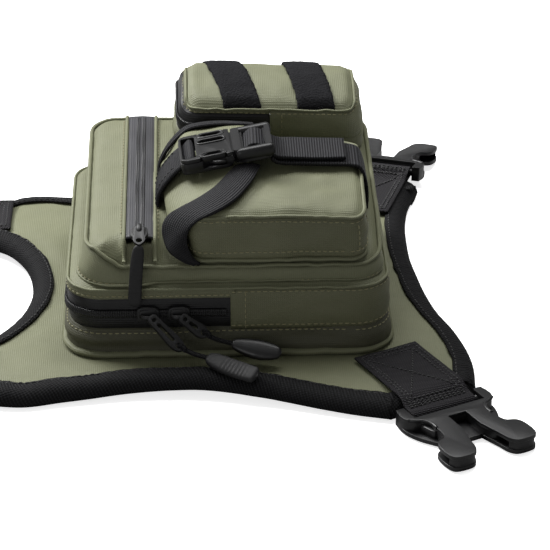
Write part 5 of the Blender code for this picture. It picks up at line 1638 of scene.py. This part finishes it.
# half outlines from the bar out, as (across, outward); the prong's pad ends each of the first two
BUCKLE_HALF = [(20.8, 7.5), (20.8, -3.5)]
PAD_CURVE = [(18.4, 31.0), (23.0, 33.2), (25.1, 37.4), (25.4, 45.6), (23.6, 50.2), (18.0, 51.4), (12.4, 50.6),
             (9.6, 46.8), (8.4, 41), (7.0, 35), (5.3, 27.6)]
SCOOP_CURVE = [(25.4, -3.5), (26.4, 1.5), (26.0, 6.6), (23.2, 10.0), (18.8, 12.0), (16.6, 16.4), (16.6, 21.6),
               (16.8, 26.6)]
FOOT_CURVE = [(25.4, -3.5), (26.5, 4), (26, 10), (23.5, 17), (19.8, 23.2), (17.2, 27.6), *PAD_CURVE]
HEAD_CURVE = [*SCOOP_CURVE, *PAD_CURVE]
CORE_CURVE = [*SCOOP_CURVE, (17.6, 31.0), (17.2, 34.6), (15.0, 36.6), (10.4, 36.8), (8.0, 35.4), (6.9, 32.6),
              (5.3, 27.6)]
PAD_TIP = [(24.8, 46.0), (22.9, 50.1), (18.0, 51.2), (12.5, 50.2), (10.0, 46.0), (13.2, 47.8), (21.8, 47.8)]
FINGER_WEB = [(15.4, 12.0), (19.8, 11.0), (19.6, 15.0), (17.8, 21.0), (15.0, 20.0)]
FINGER_RIM = ((25.0, 8.0), (22.4, 9.9), (18.3, 12.0), (16.2, 16.4), (16.2, 21.4))
DROOP = {"waist_left": 9.0}


def buckle_outline(curve, step):
    """A large buckle's whole outline from the curve of one half."""
    half = [*BUCKLE_HALF, *[tuple(p) for p in plan_curve(curve, step)], (5.2, 14.0)]
    return half + [(-x, y) for x, y in reversed(half)]


def ellipse(cx, cy, rx, ry, sides):
    angles = [2 * math.pi * k / sides for k in range(sides)]
    return [(cx + rx * math.cos(a), cy + ry * math.sin(a)) for a in angles]


def mirror_loop(loop, side):
    """A smooth closed outline from a few points, on either side of the middle."""
    line = plan_curve((*loop, loop[0]), 1.1)[:-1]
    return [(side * u, v) for u, v in line][::side]


def buckle_rod(name, matrix, line, radius, sides, body):
    """A round rod along a line given in the buckle's own frame."""
    world = np.array([tuple(matrix @ Vector(p)) for p in line])
    up = np.array(matrix.to_3x3() @ Vector((0, 0, 1)))
    thing = sweep(name, world, round_section(radius, sides), M_BUCKLE, up=up)
    finish_piece(thing, body)


def make_buckle(name):
    """A 38 mm male half: foot, core and head plates, hollow square pads and the webbing's bar."""
    x, y, heading, bar_z = WINGS[name]
    body = "clip_" + name
    place = plate_matrix(x, y, bar_z, heading, DROOP.get(name, 0.0))
    parts = [(buckle_outline(FOOT_CURVE, 1.4), [], -4.2, -1.9),
             (buckle_outline(CORE_CURVE, 1.1), [], -2.6, 2.8),
             (buckle_outline(HEAD_CURVE, 1.4), [], 2.2, 4.4),
             (rr(-6.4, 6.4, 13.0, 29.5, 1.5), [], -4.0, -1.4)]
    parts += [(mirror_loop(PAD_TIP, side), [], -2.8, 3.2) for side in (1, -1)]
    shell = moulded("buckle_" + name + "_shell", parts, place, M_BUCKLE, 0.95)
    finish_piece(shell, body, ["buckle_" + name])
    for tag, side in (("a", -1), ("b", 1)):
        web_plate = (mirror_loop(FINGER_WEB, side), [], -3.0, 2.2)
        web = moulded("buckle_" + name + "_finger_web_" + tag, [web_plate], place, M_BUCKLE, 0.8)
        finish_piece(web, body)
        brow = curve_through([(side * u, v, 4.0) for u, v in FINGER_RIM], 0.9)
        buckle_rod("buckle_" + name + "_finger_rim_" + tag, place, brow, 0.9, 10, body)
    bar_line = np.linspace((-21.2, 0, 0), (21.2, 0, 0), 24)
    buckle_rod("buckle_" + name + "_bar", place, bar_line, 2.15, 14, body)


for wing_name in WINGS:
    make_buckle(wing_name)

# ------------------------------------------------------------------ zip sliders and their pulls


def axes_matrix(origin, forward, up):
    """A frame with local x forward and local z as near to up as it goes."""
    f = Vector(forward).normalized()
    s = Vector(up).cross(f).normalized()
    u = f.cross(s)
    o = Vector(origin)
    return Matrix(((f.x, s.x, u.x, o.x), (f.y, s.y, u.y, o.y), (f.z, s.z, u.z, o.z), (0, 0, 0, 1)))


def make_slider(name, centre, forward, up, body, nodes):
    """Slider shell with its bridge, seen proud of the coil."""
    place = axes_matrix(centre, forward, up)
    heart = [(-5.8, -2.8), (-3.5, -4.3), (3.0, -4.6), (5.8, -3.4), (5.8, 3.4), (3.0, 4.6), (-3.5, 4.3),
             (-5.8, 2.8)]
    heart = resampled(np.array(heart), 1.2, True).tolist()
    plates = [(heart, [], 0.0, 2.3), (rr(-4.4, 4.6, -3.2, 3.2, 1.6), [], 1.9, 3.1)]
    shell = moulded(name + "_shell", plates, place, M_SLIDER, 0.7)
    finish_piece(shell, body, nodes)
    line = curve_through([(-3.6, 0, 2.4), (-3.3, 0, 4.2), (-1.2, 0, 5.3), (1.4, 0, 5.2), (3.0, 0, 4.2),
                          (3.6, 0, 2.6)], 0.5)
    world = np.array([tuple(place @ Vector(p)) for p in line])
    side = np.array(place.to_3x3() @ Vector((0, 1, 0)))
    up_at = np.cross(side, np.gradient(world, axis=0))
    up_at /= np.linalg.norm(up_at, axis=1)[:, None]
    bridge = sweep(name + "_bridge", world, round_section(1.35, 10, 0.6), M_SLIDER, up=up_at)
    finish_piece(bridge, body)


def grip(name, path, widths, thicknesses, mat, normal, body, nodes, power, ribs):
    """A moulded grip: rounded cross-sections of changing width along a path."""
    step = 0.5
    line = curve_through(path, step)
    t = np.linspace(0, 1, len(line))
    w = np.interp(t, np.linspace(0, 1, len(widths)), widths) / 2
    h = np.interp(t, np.linspace(0, 1, len(thicknesses)), thicknesses) / 2
    cap = np.sqrt(np.clip(1 - (1 - np.minimum(t, 1 - t) * 14).clip(0, 1) ** 2, 0.02, 1))
    ribbing = 0.5 + 0.5 * np.sin(t * len(line) * step * 2.9)
    grooves = 1 - ribs * ribbing * ease((t - 0.3) / 0.1) * ease((0.88 - t) / 0.1)
    sides = 18
    section = np.zeros((len(line), sides, 2))
    for k in range(sides):
        a = 2 * math.pi * k / sides
        c, s = math.cos(a), math.sin(a)
        section[:, k, 0] = w * cap * math.copysign(abs(c) ** power, c)
        section[:, k, 1] = h * cap * grooves * math.copysign(abs(s) ** power, s)
    finish_piece(sweep(name, line, section, mat, up=normal), body, nodes)


def ring_tab(name, a, b, width, thickness, normal, body, nodes):
    """A flat tab between two points, an eye at each end."""
    a, b = np.array(a, float), np.array(b, float)
    length = float(np.linalg.norm(b - a))
    place = axes_matrix(a, b - a, normal)
    w = width / 2
    edge = [(-0.6, w * 0.72), (length * 0.3, w * 0.8), (length * 0.7, w), (length - w * 0.3, w * 0.78)]
    ends = (-1.6, 0), (length + 1.2, 0)
    around = [ends[0], *edge, ends[1], *[(x, -y) for x, y in reversed(edge)], ends[0]]
    loop = plan_curve(around, 0.8)[:-1][::-1].tolist()
    holes = [ellipse(1.3, 0, 1.1, 1.4, 14), ellipse(length - 1.9, 0, 1.6, 1.7, 16)]
    slit = w * 0.3
    if length > 14:
        holes.insert(1, rr(3.8, length - 5.6, -slit, slit, slit * 0.9, 0.8))
    thing = moulded(name, [(loop, holes, -thickness / 2, thickness / 2)], place, M_SLIDER, 0.4, 2)
    finish_piece(thing, body, nodes)


BLUNT_WIDTHS = (5.2, 8.6, 9.6, 9.8, 9.8, 9.4, 8.8)


def make_pull(number, pivot, bends, grip_mat, blunt):
    """A metal tab, a cord through its eye and a rubber grip, all turning about the slider's bridge."""
    body = f"main_pull_{number}"
    pivot = np.array(pivot, float)
    tab_end, cord_end, grip_end = (pivot + np.array(b, float) for b in bends)
    normal = (0.35, -0.75, 0.9)
    ring_tab(f"main_{number}_tab", pivot, tab_end, 7.4, 2.0, normal, body, [f"main_{number}_pull_tab"])
    start = tab_end - (tab_end - pivot) / np.linalg.norm(tab_end - pivot) * 2.0
    sag = np.array((0, 0, -0.8))
    mid = (start + cord_end) / 2 + sag
    inside_grip = cord_end + (grip_end - cord_end) * 0.12
    cord_path = curve_through([start, mid, cord_end, inside_grip], 0.6)
    cord = sweep(f"main_{number}_cord", cord_path, round_section(1.25, 10), M_CORD, up=(0, -0.5, 1))
    finish_piece(cord, body, [f"main_{number}_pull_cord"])
    knot_offsets = ((-1.9, 0.5, 1.4), (0.4, 0.1, 1.9), (1.9, -0.8, 0.6), (1.2, -1.2, -0.9))
    knot_path = curve_through([tab_end + offset for offset in knot_offsets], 0.5)
    knot = sweep(f"main_{number}_cord_loop", knot_path, round_section(1.15, 10), M_CORD, up=(0, 1, 0.3))
    finish_piece(knot, body)
    widths = BLUNT_WIDTHS if blunt else (4.4, 8.0, 10.2, 11.2, 10.8, 9.0, 6.0)
    thick = (3.4, 4.6, 4.8, 4.6, 4.4, 4.2, 3.8) if blunt else (3.2, 4.6, 5.4, 5.6, 5.0, 4.2, 3.0)
    middle = (cord_end + grip_end) / 2 + np.array((0, -0.2, -0.5))
    grip(f"main_{number}_grip", [cord_end, middle, grip_end], widths, thick, grip_mat, normal, body,
         [f"main_{number}_pull_grip"], 0.5 if blunt else 0.75, 0.16 if blunt else 0.0)


FACE_Y = -80.4
MAIN_ZIP_Z = 34.5
for number, (x, bends, grip_mat, blunt) in enumerate((
        (-43.0, ((15, -8.5, -13.4), (28, -12, -16.7), (54, -29, -18.6)), M_RUBBER, True),
        (-27.0, ((12, -3, -8.5), (25, -5.5, -12), (51, -11, -15.5)), M_GRIP_GLOSS, False)), start=1):
    forward = (-1 if number == 1 else 1, 0, 0)
    make_slider(f"main_slider_{number}", (x, FACE_Y + 0.6, MAIN_ZIP_Z), forward, (0, -1, 0),
                f"main_zip_slider_{number}", [f"main_slider_{number}"])
    make_pull(number, (x + 2.0, -86.0, MAIN_ZIP_Z), bends, grip_mat, blunt)

make_slider("front_slider", (ZIP_X, -65.5, 73.1), (0, -1, -FRONT_SLOPE), (0, -FRONT_SLOPE, 1),
            "front_zip_slider", ["front_slider"])
front_pivot = np.array((ZIP_X, -76.6, 72.9))
ring_tab("front_slider_loop", (ZIP_X, -66.5, 77.4), tuple(front_pivot + (0, -0.6, 0.9)), 6.4, 1.6,
         (0, -0.3, 1), "front_zip_slider", [])
front_route = ((0, -0.8, 0.6), (-1.4, -5.4, -10.0), (-2.4, -7.4, -22.0), (-3.0, -7.5, -32.0))
grip("front_tab_rubber", [front_pivot + offset for offset in front_route],
     (4.6, 6.4, 6.8, 6.8, 6.8, 6.9, 7.0, 6.6), (2.6, 2.6, 2.4, 2.4, 2.4, 2.4, 2.4, 2.2), M_RUBBER,
     (0, -1, 0.12), "front_pull", ["front_pull_tab"], 0.5, 0.2)

upper_pivot = np.array((-6.0, 86.4, 99.3))
make_slider("upper_slider", (-8.0, 80.9, 99.3), (-1, 0, 0), (0, 1, 0), "upper_zip_slider", ["upper_slider"])
tab_end = upper_pivot + (0.0, 1.0, -20.0)
cord_end = upper_pivot + (0.0, 1.5, -33.0)
grip_end = upper_pivot + (0.0, 1.5, -61.0)
ring_tab("upper_tab", upper_pivot, tab_end, 7.2, 1.8, (0, 1, 0), "upper_pull", ["upper_pull_tab"])
cord_path = curve_through([tab_end + (0, 0, 2), (tab_end + cord_end) / 2, cord_end + (0, 0, -3)], 0.6)
cord = sweep("upper_cord", cord_path, round_section(1.25, 10), M_CORD, up=(0, 1, 0))
finish_piece(cord, "upper_pull", ["upper_pull_cord"])
grip("upper_grip", [cord_end, (cord_end + grip_end) / 2, grip_end], BLUNT_WIDTHS,
     (3.4, 4.4, 4.6, 4.4, 4.2, 4.0, 3.6), M_RUBBER, (0, 1, 0), "upper_pull", ["upper_pull_grip"], 0.5, 0.16)
